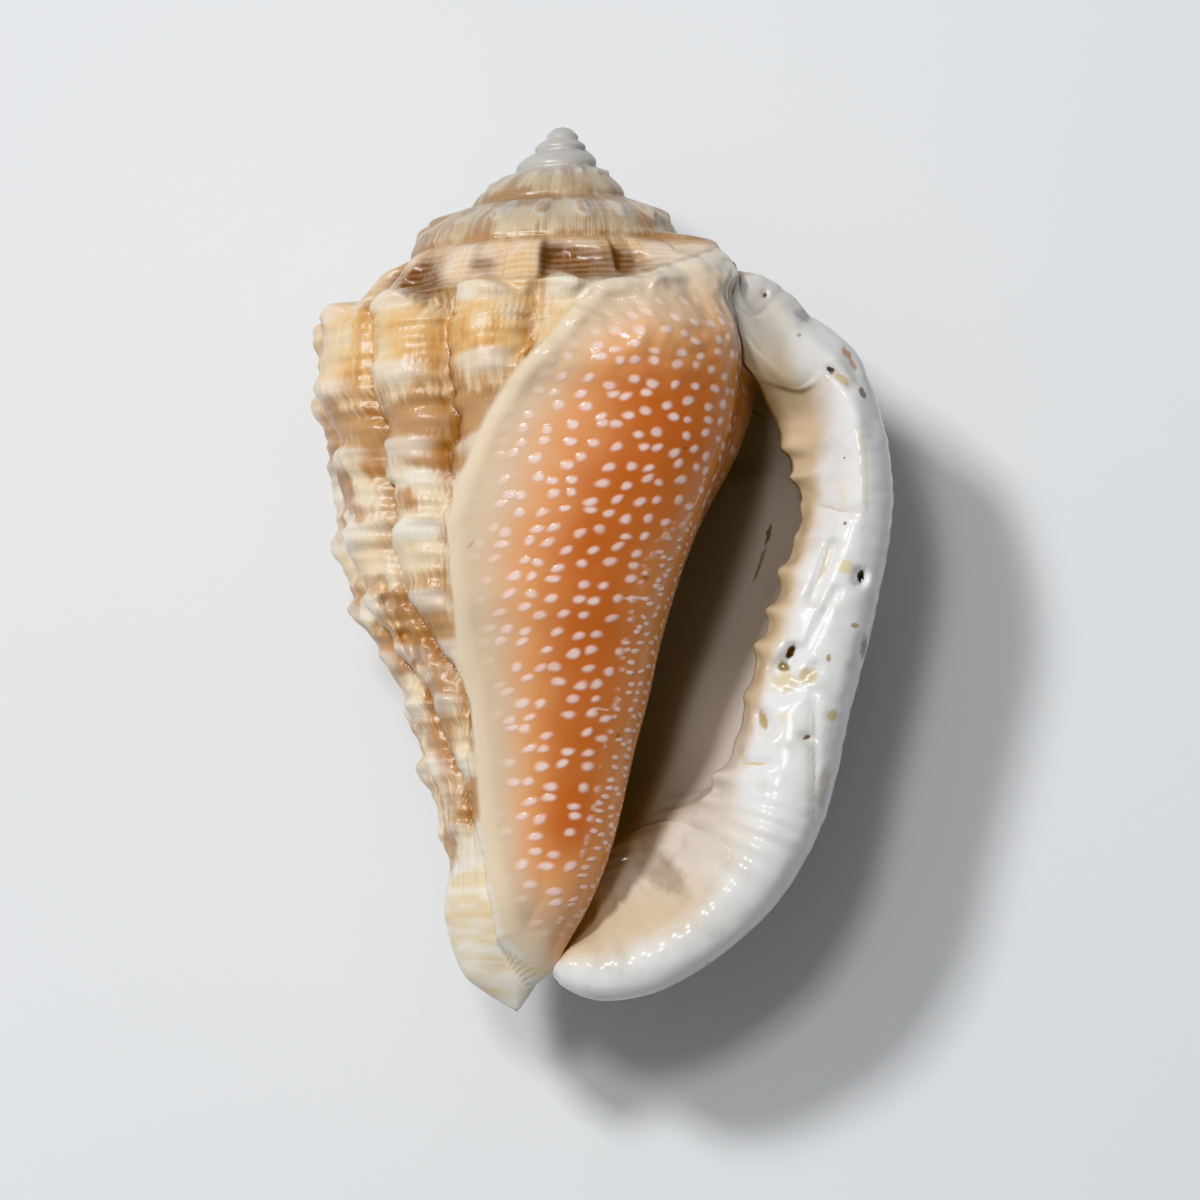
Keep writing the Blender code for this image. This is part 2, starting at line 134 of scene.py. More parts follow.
# How far a slice reaches at some angles, as a share of the mean of two of its outlines: (angle, one outline,
# the other, share where the mouth is shut, what the open mouth adds to the share)
PROFILE = [
    (-95.0, "edge", "edge", 1.0, -0.28),
    (-60.0, "edge", "edge", 1.0, -0.22),
    (-30.0, "edge", "edge", 1.0, -0.12),
    (0.0, "edge", "edge", 1.0, -0.02),
    (22.0, "edge", "edge", 1.0, 0.06),
    (52.0, "edge", "front", 1.0, 0.1),
    (90.0, "front", "front", 1.0, 0.0),
    (135.0, "front", "left", 1.01, 0.0),
    (180.0, "left", "left", 1.0, 0.0),
    (225.0, "left", "back", 1.01, 0.0),
    (270.0, "back", "back", 1.0, 0.0),
    (310.0, "back", "right", 1.0, 0.0),
    (345.0, "right", "right", 1.0, 0.0),
]
# The shield's top right corner, a small lobe: its angle and width, and the depths where it starts and fades
LOBE_ANGLE = (23.0, 16.0)
LOBE_START = (5.95, 6.4)
LOBE_FADE = (7.2, 10.5)

# The angles of the ribs on the last whorl, and on the whorl before it under the shield
RIBS = [
    -45.0, -19.0, 7.0, 32.0, 58.0, 84.0, 110.0, 136.0, 164.0, 193.0, 222.0, 253.0, 284.0, 312.0, 340.0, 366.0,
]
# The main spiral cords, which raise a knob on each rib, by their depth on the left side
CORDS = [11.2, 15.5, 19.0, 23.1, 26.8, 29.4, 32.1, 35.3, 38.8]

# Below the shoulder a rib is an arch between two narrow grooves, and this is how round; on the ramp it has a
# steep flank and a gentle one, here as shares of the space to the next rib
RIB_ROUND = 2.2
RIB_FLANKS = (0.12, 0.85)
# On the spire one nodule is at this angle, and the next ones this far apart
NODULES = (158.0, 20.0)
# Depths on the left side between which the ribs start on the ramp, rise at the shoulder, flatten, and end
RIB_START = (7.6, 8.6)
RIB_SHOULDER = (10.4, 10.9)
RIB_FLATTEN = (24.0, 38.0)
RIB_END = (38.0, 41.0)
# What is left of a rib's height where it has flattened
FLAT_SHARE = 0.35
# How far a knob reaches above and below its cord, and a spine from the shoulder
KNOB_REACH = (0.55, 1.1)
SPINE_REACH = 0.7
# Depths between which the spire's nodules grow and end, and angles between which the ribs end at the lip
NODULE_START = (2.5, 5.0)
NODULE_END = (7.0, 8.0)
LIP_RIBS_END = (330.0, 350.0)
# Half the width of the shield's rounded margin, and the angle where it has its full height
MARGIN = 0.6
SHIELD_FULL_ANGLE = 45.0

# The depths over which the mouth opens and shuts, and the lip parts from the body and joins it
MOUTH_EASE = (9.0, 4.5)
LIP_EASE = (1.2, 0.5)
# The lower end of the mouth is a shallow trough: where it starts and is full, and how far its floor is raised
TROUGH = (33.0, 41.0)
TROUGH_RAISE = 1.6
# Where the slant of the whorls starts at the top point, and fades on the last whorl
SLANT_START = (0.6, 1.5)
SLANT_FADE = (12.0, 22.0)
# Where the slices leave the cone of the spire, and where the shield's edge sets their right side
CONE_FADE = (11.0, 13.0)
EDGE_START = (7.4, 9.0)

# How finely the mesh is divided: (from row depth, to row depth, rows), (from angle, to angle, columns), the
# columns of the lip's hidden and open parts with the share of the path between them, and the mouth's columns
ROWS = [(0.12, LIP_TOP, 56), (LIP_TOP, MOUTH_TOP, 48), (MOUTH_TOP, MOUTH_END, 196), (MOUTH_END, 48.1, 13)]
BODY = [(EDGE_ANGLE, 60.0, 36), (60.0, 190.0, 130), (190.0, WALL_ANGLE, 55)]
LIP_COLUMNS = (14, 56)
LIP_HIDDEN = 0.4
POCKET_COLUMNS = 12

# The teeth along the lip's inner edge, and the fine folds at its lower end: (row depth, height, half width)
TEETH = [
    (16.7, 0.45, 0.45), (18.4, 0.45, 0.45), (20.3, 0.08, 0.4), (22.4, 0.12, 0.4), (24.5, 0.45, 0.5),
    (26.8, 0.45, 0.5), (28.8, 0.5, 0.5), (31.3, 0.25, 0.5), (33.6, 0.18, 0.5), (35.6, 0.45, 0.5),
    (37.1, 0.3, 0.45), (38.2, 0.25, 0.4), (39.4, 0.25, 0.35), (40.4, 0.35, 0.3), (41.2, 0.35, 0.25),
    (41.9, 0.35, 0.22), (42.6, 0.3, 0.22), (43.3, 0.2, 0.2),
]
# How far a tooth reaches up the lip's inner slope, as a share of the path over the lip
TOOTH_REACH = 0.07
# The spiral cords between the main ones: their spacing and height
THREADS = (0.95, 0.05)
# How much a groove between two ribs wanders, and its own notch: depth and half width as a share of a rib
GROOVE_WANDER = (0.12, 0.06)
GROOVE_NOTCH = (0.3, 0.05)
# How far the grooves' edges are scalloped by the threads, as a share of a rib
GROOVE_SCALLOP = 0.035
# How far the ribs lean, in degrees, by their level
RIB_SLANT = [(0.0, 0.0), (18.0, 0.0), (27.0, 7.0), (33.6, 28.0), (40.0, 42.0)]
# The arched top of a rib: how far its highest point is off the middle, how much its sides droop, and a shift
HOOD = (0.2, 1.5, 0.45)
# Ribs with smaller knobs: their place in ribs, and how much is taken off
CALM = (6.3, 0.9)
# The height of the ramp's steps
RAMP_STEP = 1.05
# The rows of small nodules on the spire: (level, reach, height, degrees from one to the next)
NODULE_ROWS = [(1.35, 0.25, 0.0, 24.0), (3.25, 0.3, 0.35, 22.5), (5.9, 0.55, 0.8, 20.0)]
# The grooves at the spire's sutures: depth and half width
SUTURE_GROOVE = (0.2, 0.13)
# How much the mouth's floor is raised at its lower end, from its outer side to its inner side, and the height of
# the wrinkles on the shield's top
FLOOR_LIFT = np.array([1.8, 1.2, 0.3, 0.0, 0.0])
WRINKLES = 0.05
# How far the buried ribs show through the shield
UNDER_SHIELD = 0.12
# The shield's rim: half the width of its outer slope, and a bulge along it: height, place and half width
RIM = 0.4
RIM_BULGE = (0.16, 0.75, 0.4)

# Row depths where the lip's inner slope is wide: where it starts and where it ends, at its top and lower end
LIP_SLOPE_TOP = ((7.4, 9.0), (18.0, 27.0))
LIP_SLOPE_END = ((33.0, 40.0), (43.0, 45.3))
# The flap that fills the gap between the shield and the top of the lip: its height, how it falls towards the lip
# and rises towards the shield, how softly it joins, how far it reaches, and the row depths where it starts and ends
FLAP_HEIGHT = 7.0
FLAP_SLOPES = (-0.7, 0.3)
FLAP_ROUND = 0.5
FLAP_FADE = (4.5, 6.5)
FLAP_START = (7.0, 9.2)
FLAP_END = (11.5, 15.5)
# How lumpy the lip is, and how high the fold on the shield's top stands
LUMPS = 0.03
FOLD = 0.3
# Dents of the lip, with places and half width in the photo's pixels: (x, y, to x, to y, half width, depth)
DENTS = [
    (764, 296, 764, 298, 3, 0.3), (828, 371, 850, 389, 4, 0.3), (576, 326, 600, 318, 30, 0.7),
    (859, 574, 858, 580, 6, 0.9), (831, 545, 811, 598, 5, 0.55), (835, 590, 798, 662, 4, 0.25),
    (792, 648, 787, 656, 6, 0.9), (783, 664, 777, 668, 9, 0.6), (784, 680, 780, 686, 15, 0.3),
    (800, 680, 812, 668, 8, 0.25), (760, 714, 766, 728, 7, 0.45), (812, 694, 812, 830, 4, 0.16),
    (815, 505, 850, 514, 4, 0.16), (742, 762, 768, 762, 4, 0.15), (787, 693, 812, 690, 4, 0.15),
    (803, 735, 808, 737, 4, 0.3), (845, 356, 860, 393, 4, 0.2), (862, 640, 858, 660, 5, 0.25),
    (849, 697, 851, 700, 6, 0.5), (562, 262, 640, 270, 14, 0.8), (408, 284, 438, 296, 11, 0.7),
    (383, 580, 387, 600, 5, 0.5), (387, 600, 406, 632, 6, 0.6), (406, 632, 420, 662, 6, 0.6),
    (420, 662, 434, 692, 5, 0.4),
]

def hermite(x, y, slope, at):
    """The smooth curve with given slopes, read at many places. y and slope may have a column for each."""
    i = np.clip(np.searchsorted(x, at, side="right") - 1, 0, len(x) - 2)
    column = (np.arange(len(at)),) if y.ndim > 1 else ()
    step = x[i + 1] - x[i]
    t = (at - x[i]) / step
    return (
        y[(i, *column)] * (1 + 2 * t) * (1 - t) ** 2
        + slope[(i, *column)] * step * t * (1 - t) ** 2
        + y[(i + 1, *column)] * t * t * (3 - 2 * t)
        + slope[(i + 1, *column)] * step * t * t * (t - 1)
    )


def through(points, at):
    """A smooth curve with no overshoot through (x, y) points, read at the given x."""
    x, y = np.array(points, float).T
    at = np.clip(np.asarray(at, float), x[0], x[-1])
    step = np.diff(x)
    rise = np.diff(y) / step
    slope = np.concatenate([rise[:1], np.zeros(len(x) - 2), rise[-1:]])
    same = np.flatnonzero(rise[:-1] * rise[1:] > 0)
    first = 2 * step[same + 1] + step[same]
    second = step[same + 1] + 2 * step[same]
    slope[same + 1] = (first + second) / (first / rise[same] + second / rise[same + 1])
    return hermite(x, y, slope, at.ravel()).reshape(at.shape)


def ease(low, high, value):
    """0 below low, 1 above high, smooth between them."""
    t = np.clip((np.asarray(value, float) - low) / (high - low), 0, 1)
    return t * t * (3 - 2 * t)


def left_depth(angle, d):
    """The depth on the left side of the point that lies as far down its own whorl."""
    turns = np.arange(len(SUTURES), dtype=float)
    count = np.interp(d, SUTURES, turns) - (angle - 180) / 360
    helical = np.interp(count, turns, SUTURES)
    return d + (helical - d) * ease(*SLANT_START, d) * (1 - ease(*SLANT_FADE, d))


def radius(angle, d):
    """Distance from the slice's middle to the surface between the ribs, at one depth."""
    cone_d, cone_r = np.array(CONE).T
    level = left_depth(angle, d)
    grown = np.interp(d, cone_d, cone_r) / np.interp(level, cone_d, cone_r)
    middle = through(MIDDLE, d)
    left = through(LEFT, level) * (grown + (1 - grown) * ease(*CONE_FADE, d)) + middle
    outline = {
        "left": left,
        "front": left * through(FRONT, d),
        "back": left * through(BACK, d),
        "right": left * through(RIGHT, d),
        "edge": left + (through(EDGE, d) - middle - left) * ease(*EDGE_START, d),
    }
    mouth = ease(LIP_TOP, MOUTH_TOP, d)
    angles = np.array([key[0] for key in PROFILE])
    table = np.array([
        0.5 * (outline[one] + outline[other]) * (share + more * mouth)
        for _, one, other, share, more in PROFILE
    ])
    nearest = angle - 360 * np.round(angle / 360)
    lobe = np.exp(-(((nearest - LOBE_ANGLE[0]) / LOBE_ANGLE[1]) ** 2))
    lobe *= ease(*LOBE_START, d) * (1 - ease(*LOBE_FADE, d))
    return hermite(angles, table, np.gradient(table, angles, axis=0), angle) + LOBE_RAISE * lobe


def around(angle, d, inward=0.0):
    """Points (x, d, z) of a slice at the given angles."""
    r = radius(angle, d) - inward
    turn = np.radians(angle)
    x = through(MIDDLE, d) + r * np.cos(turn)
    return np.stack([x, np.full(len(angle), float(d)), r * np.sin(turn)], axis=1)


def spread_over(parts):
    """Values between the ends of each part, split into its count, with the last end."""
    return np.concatenate([np.linspace(a, b, n, endpoint=False) for a, b, n in parts] + [[parts[-1][1]]])


ROW_DEPTHS = spread_over(ROWS)
BODY_ANGLES = spread_over(BODY)
LIP_SHARES = spread_over([(0.0, LIP_HIDDEN, LIP_COLUMNS[0]), (LIP_HIDDEN, 1.0, LIP_COLUMNS[1])])
LIP_ANGLES = WALL_ANGLE + (375.0 - WALL_ANGLE) * LIP_SHARES
ANGLES = np.concatenate([BODY_ANGLES, LIP_ANGLES[1:]])
# Roughly how far each column is from the shield's edge, in millimetres
FROM_EDGE = np.concatenate([0.19 * (BODY_ANGLES - EDGE_ANGLE), 13.0 * (1 - LIP_SHARES[1:])])


def spline(points, shares):
    """Points at the given shares of a smooth curve through the given points."""
    points = np.array(points)
    length = np.concatenate([[0], np.cumsum(np.linalg.norm(np.diff(points, axis=0), axis=1))])
    slope = np.gradient(points, length, axis=0)
    at = np.asarray(shares) * length[-1]
    return np.stack([hermite(length, points[:, k], slope[:, k], at) for k in range(3)], axis=1)


def lip(row):
    """The roll's middle, the direction out of the mouth, its half width and its half thickness."""
    table = np.array(LIP)
    x, d, width, z, thick = (through(table[:, [0, k]], row) for k in range(1, 6))
    near = 0.05
    along_x = through(table[:, [0, 1]], row + near) - through(table[:, [0, 1]], row - near)
    along_d = through(table[:, [0, 2]], row + near) - through(table[:, [0, 2]], row - near)
    out = np.array([along_d, -along_x, 0.0])
    return np.array([x, d, z]), out / (np.linalg.norm(out) + 1e-9), float(width), float(thick)


def opening(row):
    """0 where the mouth is shut at its two ends, 1 where it is open."""
    top = np.clip((row - MOUTH_TOP) / MOUTH_EASE[0], 0, 1)
    end = np.clip((MOUTH_END - row) / MOUTH_EASE[1], 0, 1)
    return float(np.sqrt(1 - (1 - top) ** 2) * np.sqrt(1 - (1 - end) ** 2))


def slice_points(row):
    """One slice: its outside from the shield's edge round to the lip, and the two walls of the mouth."""
    body = around(BODY_ANGLES, row)
    plain = around(WALL_ANGLE + (360 + EDGE_ANGLE - WALL_ANGLE) * LIP_SHARES - 360, row)
    centre, out, width, thick = lip(row)
    up = np.array([0.0, 0.0, 1.0])
    edge = body[0]
    open_share = opening(row)
    tooth = sum(height * np.exp(-(((row - at) / wide) ** 2)) for at, height, wide in TEETH)
    high = float(ease(*LIP_SLOPE_TOP[0], row) * (1 - ease(*LIP_SLOPE_TOP[1], row)))
    low = float(ease(*LIP_SLOPE_END[0], row) * (1 - ease(*LIP_SLOPE_END[1], row)))
    inner_edge = centre - (width + 1.5 * low) * out - (0.1 + 0.7 * high + 0.8 * low) * thick * up
    keys = [
        *around(np.array([WALL_ANGLE, WALL_ANGLE + 17]), row),
        centre + 0.8 * width * out - 0.75 * thick * up,
        centre + width * out,
        centre + 0.7 * width * out + 0.75 * thick * up,
        centre + 0.45 * high * width * out + thick * up,
        centre - (0.7 + 0.1 * low) * width * out + (0.7 - 0.65 * high - 0.25 * low) * thick * up,
        edge + open_share * (inner_edge - edge),
    ]
    with_lip = spline(keys, LIP_SHARES)
    near_edge = np.exp(-(((1 - LIP_SHARES) / TOOTH_REACH) ** 2))[:, None]
    with_lip += open_share * tooth * near_edge * (0.3 * thick * up - out)
    share = ease(LIP_TOP, LIP_TOP + LIP_EASE[0], row) * (1 - ease(MOUTH_END, MOUTH_END + LIP_EASE[1], row))
    outside = np.vstack([body, (plain * (1 - share) + with_lip * share)[1:]])
    if row < MOUTH_TOP or row > MOUTH_END:
        return outside, None, None
    trough = float(ease(*TROUGH, row))
    hidden = centre - ((0.75 + 0.9 * trough) * width + 1.4 * low) * out - (0.9 + 0.2 * trough + 0.3 * low) * thick * up
    wall = WALL + TROUGH_RAISE * trough
    angles = np.array([330.0, 312.0, 295.0, 280.0, 265.0])
    inner_keys = [outside[-1], hidden, *around(angles, row, wall + trough * FLOOR_LIFT)]
    inner = spline(inner_keys, np.linspace(0, 1, POCKET_COLUMNS + 1))
    outer = around(np.linspace(EDGE_ANGLE, POCKET_ANGLE, POCKET_COLUMNS + 1), row)
    shut = 0.5 * (inner + outer)
    inner = shut + open_share * (inner - shut)
    outer = shut + open_share * (outer - shut)
    inner[0] = outside[-1]
    outer[0] = outside[0]
    return outside, inner, outer


def outline_distance(outline, x, y):
    """How far points are inside a closed outline; negative outside it."""
    ends = np.array(outline)
    nearest = np.full(x.shape, 1e9)
    inside = np.zeros(x.shape, bool)
    for (ax, ay), (bx, by) in zip(ends, np.roll(ends, -1, axis=0)):
        t = np.clip(((x - ax) * (bx - ax) + (y - ay) * (by - ay)) / ((bx - ax) ** 2 + (by - ay) ** 2), 0, 1)
        nearest = np.minimum(nearest, np.hypot(x - ax - t * (bx - ax), y - ay - t * (by - ay)))
        if ay != by:
            inside ^= ((ay > y) != (by > y)) & (x < ax + (y - ay) * (bx - ax) / (by - ay))
    return np.where(inside, nearest, -nearest)


LATTICE = np.random.default_rng(11).random((61, 67))


def noise(u, v, seed=0):
    """Smooth noise from -1 to 1, with a cell of size 1."""
    u = np.asarray(u, float) + 17.3 * seed
    v = np.asarray(v, float) + 5.1 * seed
    i = np.floor(u).astype(int)
    j = np.floor(v).astype(int)
    s = u - i
    t = v - j
    s = s * s * (3 - 2 * s)
    t = t * t * (3 - 2 * t)
    corner = [[LATTICE[(i + a) % 61, (j + b) % 67] for b in (0, 1)] for a in (0, 1)]
    low = corner[0][0] * (1 - s) + corner[1][0] * s
    high = corner[0][1] * (1 - s) + corner[1][1] * s
    return 2 * (low * (1 - t) + high * t) - 1


def rib_phases(level, angle):
    """The ribs' count at each point: a whole number on a rib's middle, and a half in a groove."""
    phase = np.interp(angle + through(RIB_SLANT, level), RIBS, np.arange(len(RIBS)))
    shoulder = ease(*RIB_SHOULDER, level)
    scallop = 0.5 + 0.5 * np.cos(2 * np.pi * (level - CORDS[0]) / THREADS[0])
    wander = GROOVE_WANDER[0] * noise(phase * 0.7, level * 0.5) + GROOVE_WANDER[1] * noise(phase, level * 1.9, 3)
    return phase + (wander + GROOVE_SCALLOP * scallop) * shoulder, scallop


def ramp_step(phase, before_lip):
    """The ramp's overlapping steps: steep on the older side of each edge, gentle on the newer side."""
    beside = phase - 0.5 - np.round(phase - 0.5)
    step = np.clip(np.where(beside < 0, -beside / RIB_FLANKS[0], beside / RIB_FLANKS[1]), 0, 1)
    return (0.5 + 0.5 * np.cos(np.pi * step)) * before_lip, beside


def relief(outside):
    """How far each point of the outside stands proud, and the values that the colours follow."""
    rows = ROW_DEPTHS[:, None]
    angle = ANGLES[None, :]
    level = np.array([left_depth(ANGLES, float(row)) for row in ROW_DEPTHS])
    x, z = outside[..., 0], outside[..., 2]
    angle = angle + 0 * level
    phase, scallop = rib_phases(level, angle)
    beside = phase - np.round(phase)
    before_lip = 1 - ease(*LIP_RIBS_END, angle)
    off_hood = np.abs(beside - HOOD[0])
    off_hood = np.minimum(off_hood, 1 - off_hood)
    shoulder = ease(*RIB_SHOULDER, level - HOOD[1] * (2 * off_hood) ** 1.4 + HOOD[2])
    round_top = RIB_ROUND * (0.75 + 0.25 * ease(11.0, 17.0, level))
    arch = (1 - np.abs(2 * beside) ** round_top) * before_lip
    step, past_edge = ramp_step(phase, before_lip)
    end = 1 - ease(*RIB_END, level)
    height = RIB_HEIGHT * (1 - (1 - FLAT_SHARE) * ease(*RIB_FLATTEN, level)) * end
    knob = np.zeros(level.shape)
    for cord in CORDS:
        reach = np.where(level < cord, *KNOB_REACH)
        knob = np.maximum(knob, np.exp(-(((level - cord) / reach) ** 2)))
    spine = np.exp(-(((level - CORDS[0]) / SPINE_REACH) ** 2) - (off_hood / 0.24) ** 2) * before_lip
    on_rib = (height + KNOB_HEIGHT * knob * end * (0.7 + 0.8 * noise(phase, level * 0.7, 5)) * arch**2
                       * (1.25 - CALM[1] * np.exp(-(((phase - CALM[0]) / 1.2) ** 2)))) * shoulder
    uneven = 0.75 + 0.5 * noise(np.round(phase - 0.5), 0 * level, 8)
    on_ramp = RAMP_STEP * uneven * ease(*RIB_START, level) * (1 - shoulder)
    nodule = np.zeros(level.shape)
    for at, reach, tall, spacing in NODULE_ROWS:
        bump = np.cos(np.pi * (angle - NODULES[0]) / spacing) ** 2
        size = 0.9 + 0.4 * noise(np.round((angle - NODULES[0]) / spacing) * 1.37, 0 * level + at, 9)
        nodule = np.maximum(nodule, tall * size * bump**2 * np.exp(-(((level - at) / reach) ** 2)))
    notch = np.exp(-(((0.5 - np.abs(beside)) / GROOVE_NOTCH[1]) ** 2)) * before_lip * shoulder * end
    notch = notch * (0.35 + 0.65 * ease(12.0, 16.0, level))
    thread = THREADS[1] * (scallop - 0.5) * (0.4 + arch) * before_lip * shoulder * end
    ribs = arch * on_rib + step * on_ramp + nodule + thread - GROOVE_NOTCH[0] * notch + SPINE_HEIGHT * spine
    ribs += 0.05 * noise(angle * 0.4, level * 2.0, 7) * ease(4.0, 6.0, level) * (1 - ease(42.0, 45.0, level))
    for suture in SUTURES[1:6]:
        ribs -= SUTURE_GROOVE[0] * min(1.0, suture / 2) * np.exp(-(((level - suture) / SUTURE_GROOVE[1]) ** 2))
    inside = outline_distance(SHIELD, x, np.broadcast_to(rows, x.shape))
    inside = np.where((z > 0) & (angle < 200), inside + 0.12 * noise(rows * 0.6, x * 0.3, 2), -9.0)
    slope = np.clip(0.5 + 0.5 * inside / RIM, 0, 1)
    shield = np.sqrt(1 - (1 - slope) ** 2)
    rim = RIM_BULGE[0] * (1 + 0.2 * (1 - ease(12.0, 18.0, rows))) * np.exp(-(((inside - RIM_BULGE[1]) / RIM_BULGE[2]) ** 2))
    wrinkles = WRINKLES * noise(angle * 0.25, rows * 1.1, 12) * ease(8.5, 10.0, rows) * (1 - ease(13.0, 16.0, rows))
    buried = wrinkles + UNDER_SHIELD * arch * shoulder * np.exp(-np.clip(inside, 0, None) / 2.5) * ease(0.4, 1.6, inside)
    raised = ribs * (1 - shield)
    raised += SHIELD_RAISE * shield * ease(EDGE_ANGLE, SHIELD_FULL_ANGLE, angle) + shield * (rim + buried)
    values = {
        "coil": np.stack([angle * 0.2, level, phase], axis=-1),
        "arch": arch,
        "notch": notch,
        "inside": inside,
        "shoulder": shoulder,
        "ramp": ease(*RIB_START, level) * (1 - shoulder) * before_lip,
        "past_edge": past_edge,
        "knob": knob * arch * shoulder * end,
        "nodule": nodule / NODULE_HEIGHT,
        "spine": spine,
    }
    return raised, values


# Where the photo's marks are

# The photo's scale, the pixel of the top point, the turn in the picture and the tilt of the view
PIXEL = 0.0543
TOP_PIXEL = (563.0, 127.0)
PICTURE_CENTRE = (600.0, 600.0)
PICTURE_HALF = 600.0 * PIXEL
PICTURE_TURN = np.radians(2.0)
VIEW_HEIGHT = np.radians(83.2)


def to_picture(points):
    """Where points in the shell's own coordinates are seen from the mouth's side, in the photo's pixels."""
    x = points[:, 0] / PIXEL
    y = (np.sin(VIEW_HEIGHT) * points[:, 1] - np.cos(VIEW_HEIGHT) * points[:, 2]) / PIXEL
    c, s = np.cos(PICTURE_TURN), np.sin(PICTURE_TURN)
    return np.stack([TOP_PIXEL[0] + x * c - y * s, TOP_PIXEL[1] + x * s + y * c], axis=1)


def lift(outside):
    """How far each point of the outside is raised towards the mouth's side: lumps and dents of the lip."""
    rows = ROW_DEPTHS[:, None]
    on_lip = np.concatenate([0 * BODY_ANGLES, ease(0.45, 0.6, LIP_SHARES[1:])])
    x, d, z = np.moveaxis(outside, -1, 0)
    flap = FLAP_HEIGHT + FROM_EDGE * np.where(on_lip > 0, *FLAP_SLOPES)
    near = (1 - ease(*FLAP_FADE, FROM_EDGE)) * ease(*FLAP_START, rows) * (1 - ease(*FLAP_END, rows))
    up = near * FLAP_ROUND * np.log1p(np.exp((flap - z) / FLAP_ROUND))
    up = up + LUMPS * on_lip * (noise(x * 0.55, d * 0.45, 4) + 0.5 * noise(x * 1.3, d * 1.1, 6))
    picture = to_picture(outside.reshape(-1, 3)).reshape(*outside.shape[:2], 2)
    px, py = picture[..., 0], picture[..., 1]
    for x1, y1, x2, y2, half, depth in DENTS:
        t = np.clip(((px - x1) * (x2 - x1) + (py - y1) * (y2 - y1)) / ((x2 - x1) ** 2 + (y2 - y1) ** 2 + 1e-9), 0, 1)
        away = np.hypot(px - x1 - t * (x2 - x1), py - y1 - t * (y2 - y1)) / half
        up = up - depth * np.exp(-(away**3)) * (z > 0)
    fold = ease(-6, 6, px - np.interp(py, [260, 350], [655, 636])) * (1 - ease(690, 760, px))
    up = up + FOLD * fold * ease(262, 275, py) * (1 - ease(310, 370, py)) * (z > 0) * (px > 600)
    return up


# The mesh

def shell_surface():
    """Every vertex of the shell in metres, its faces, and the values that the colours follow."""
    slices = [slice_points(row) for row in ROW_DEPTHS]
    outside = np.array([s[0] for s in slices])
    middle = np.stack([through(MIDDLE, ROW_DEPTHS), ROW_DEPTHS, 0 * ROW_DEPTHS], axis=1)[:, None]
    outward = outside - middle
    outward[..., 1] = 0
    outward /= np.linalg.norm(outward, axis=2, keepdims=True)
    raised, values = relief(outside)
    along = np.linalg.norm(np.diff(outside, axis=1), axis=2)
    along = np.concatenate([np.zeros((len(along), 1)), np.cumsum(along, axis=1)], axis=1)
    values["across"] = np.stack([along, outside[..., 1], 0 * along], axis=-1)
    values["from_edge"] = FROM_EDGE + 0 * along
    values["row"] = ROW_DEPTHS[:, None] + 0 * along
    outside = outside + outward * raised[..., None]
    outside[..., 2] += lift(outside)
    outside[:, -1, 2] = np.where(ROW_DEPTHS <= MOUTH_TOP, outside[:, 0, 2], outside[:, -1, 2])
    share = ease(LIP_TOP, LIP_TOP + 1.5, ROW_DEPTHS) * (1 - ease(MOUTH_END, MOUTH_END + 0.5, ROW_DEPTHS))
    place = np.concatenate([0 * BODY_ANGLES, LIP_SHARES[1:]])
    values["lip"] = place[None, :] * share[:, None]
    values["deep"] = 0 * along
    names = list(values)
    points = []
    data = {name: [] for name in names}

    def vertex(point, row, column, deep):
        points.append(point)
        for name in names:
            data[name].append(values[name][row, column])
        data["deep"][-1] = deep
        return len(points) - 1

    faces = []

    def strip(one, two):
        for corners in zip(one, one[1:], two[1:], two):
            corners = list(dict.fromkeys(corners))
            if len(corners) > 2:
                faces.append(corners)

    last = outside.shape[1] - 1
    rings = []
    walls = []
    for i, row in enumerate(ROW_DEPTHS):
        inner, outer = slices[i][1:]
        ring = [vertex(outside[i, j], i, j, 0.0) for j in range(last)]
        if inner is None or opening(row) == 0:
            ring.append(ring[0])
        else:
            ring.append(vertex(outside[i, last], i, last, 0.0))
        wall = None
        if inner is not None:
            reach = np.concatenate([[0], np.cumsum(np.linalg.norm(np.diff(inner, axis=0), axis=1))])
            line = [vertex(inner[k], i, last, reach[k]) for k in range(1, POCKET_COLUMNS + 1)]
            back = line
            if opening(row) > 0:
                reach = np.concatenate([[0], np.cumsum(np.linalg.norm(np.diff(outer, axis=0), axis=1))])
                back = [vertex(outer[k], i, 0, reach[k]) for k in range(1, POCKET_COLUMNS + 1)]
            wall = [ring[-1], *line, *back[::-1], ring[0]]
        rings.append(ring)
        walls.append(wall)
    for i in range(len(ROW_DEPTHS) - 1):
        strip(rings[i], rings[i + 1])
        if walls[i] and walls[i + 1]:
            strip(walls[i], walls[i + 1])
    top = vertex(np.array([0.0, 0.0, 0.0]), 0, 0, 0.0)
    tip = vertex(np.array([float(through(MIDDLE, LENGTH)), LENGTH, 0.0]), len(ROW_DEPTHS) - 1, 0, 0.0)
    strip([top] * len(rings[0]), rings[0])
    strip(rings[-1], [tip] * len(rings[-1]))
    points = np.array(points)
    placed = np.stack([
        points[:, 0] - CENTRE_X,
        CENTRE_D - points[:, 1],
        np.maximum(points[:, 2], -FLAT_DEPTH) + FLAT_DEPTH,
    ], axis=1)
    values = {name: np.array(value) for name, value in data.items()}
    return points, placed * MM, faces, values


# Colours


def colour(red, green, blue):
    """A colour given as 0 to 255 values, in linear light."""
    value = np.array([red, green, blue]) / 255
    return (*np.where(value <= 0.04045, value / 12.92, ((value + 0.055) / 1.055) ** 2.4), 1.0)


# The material

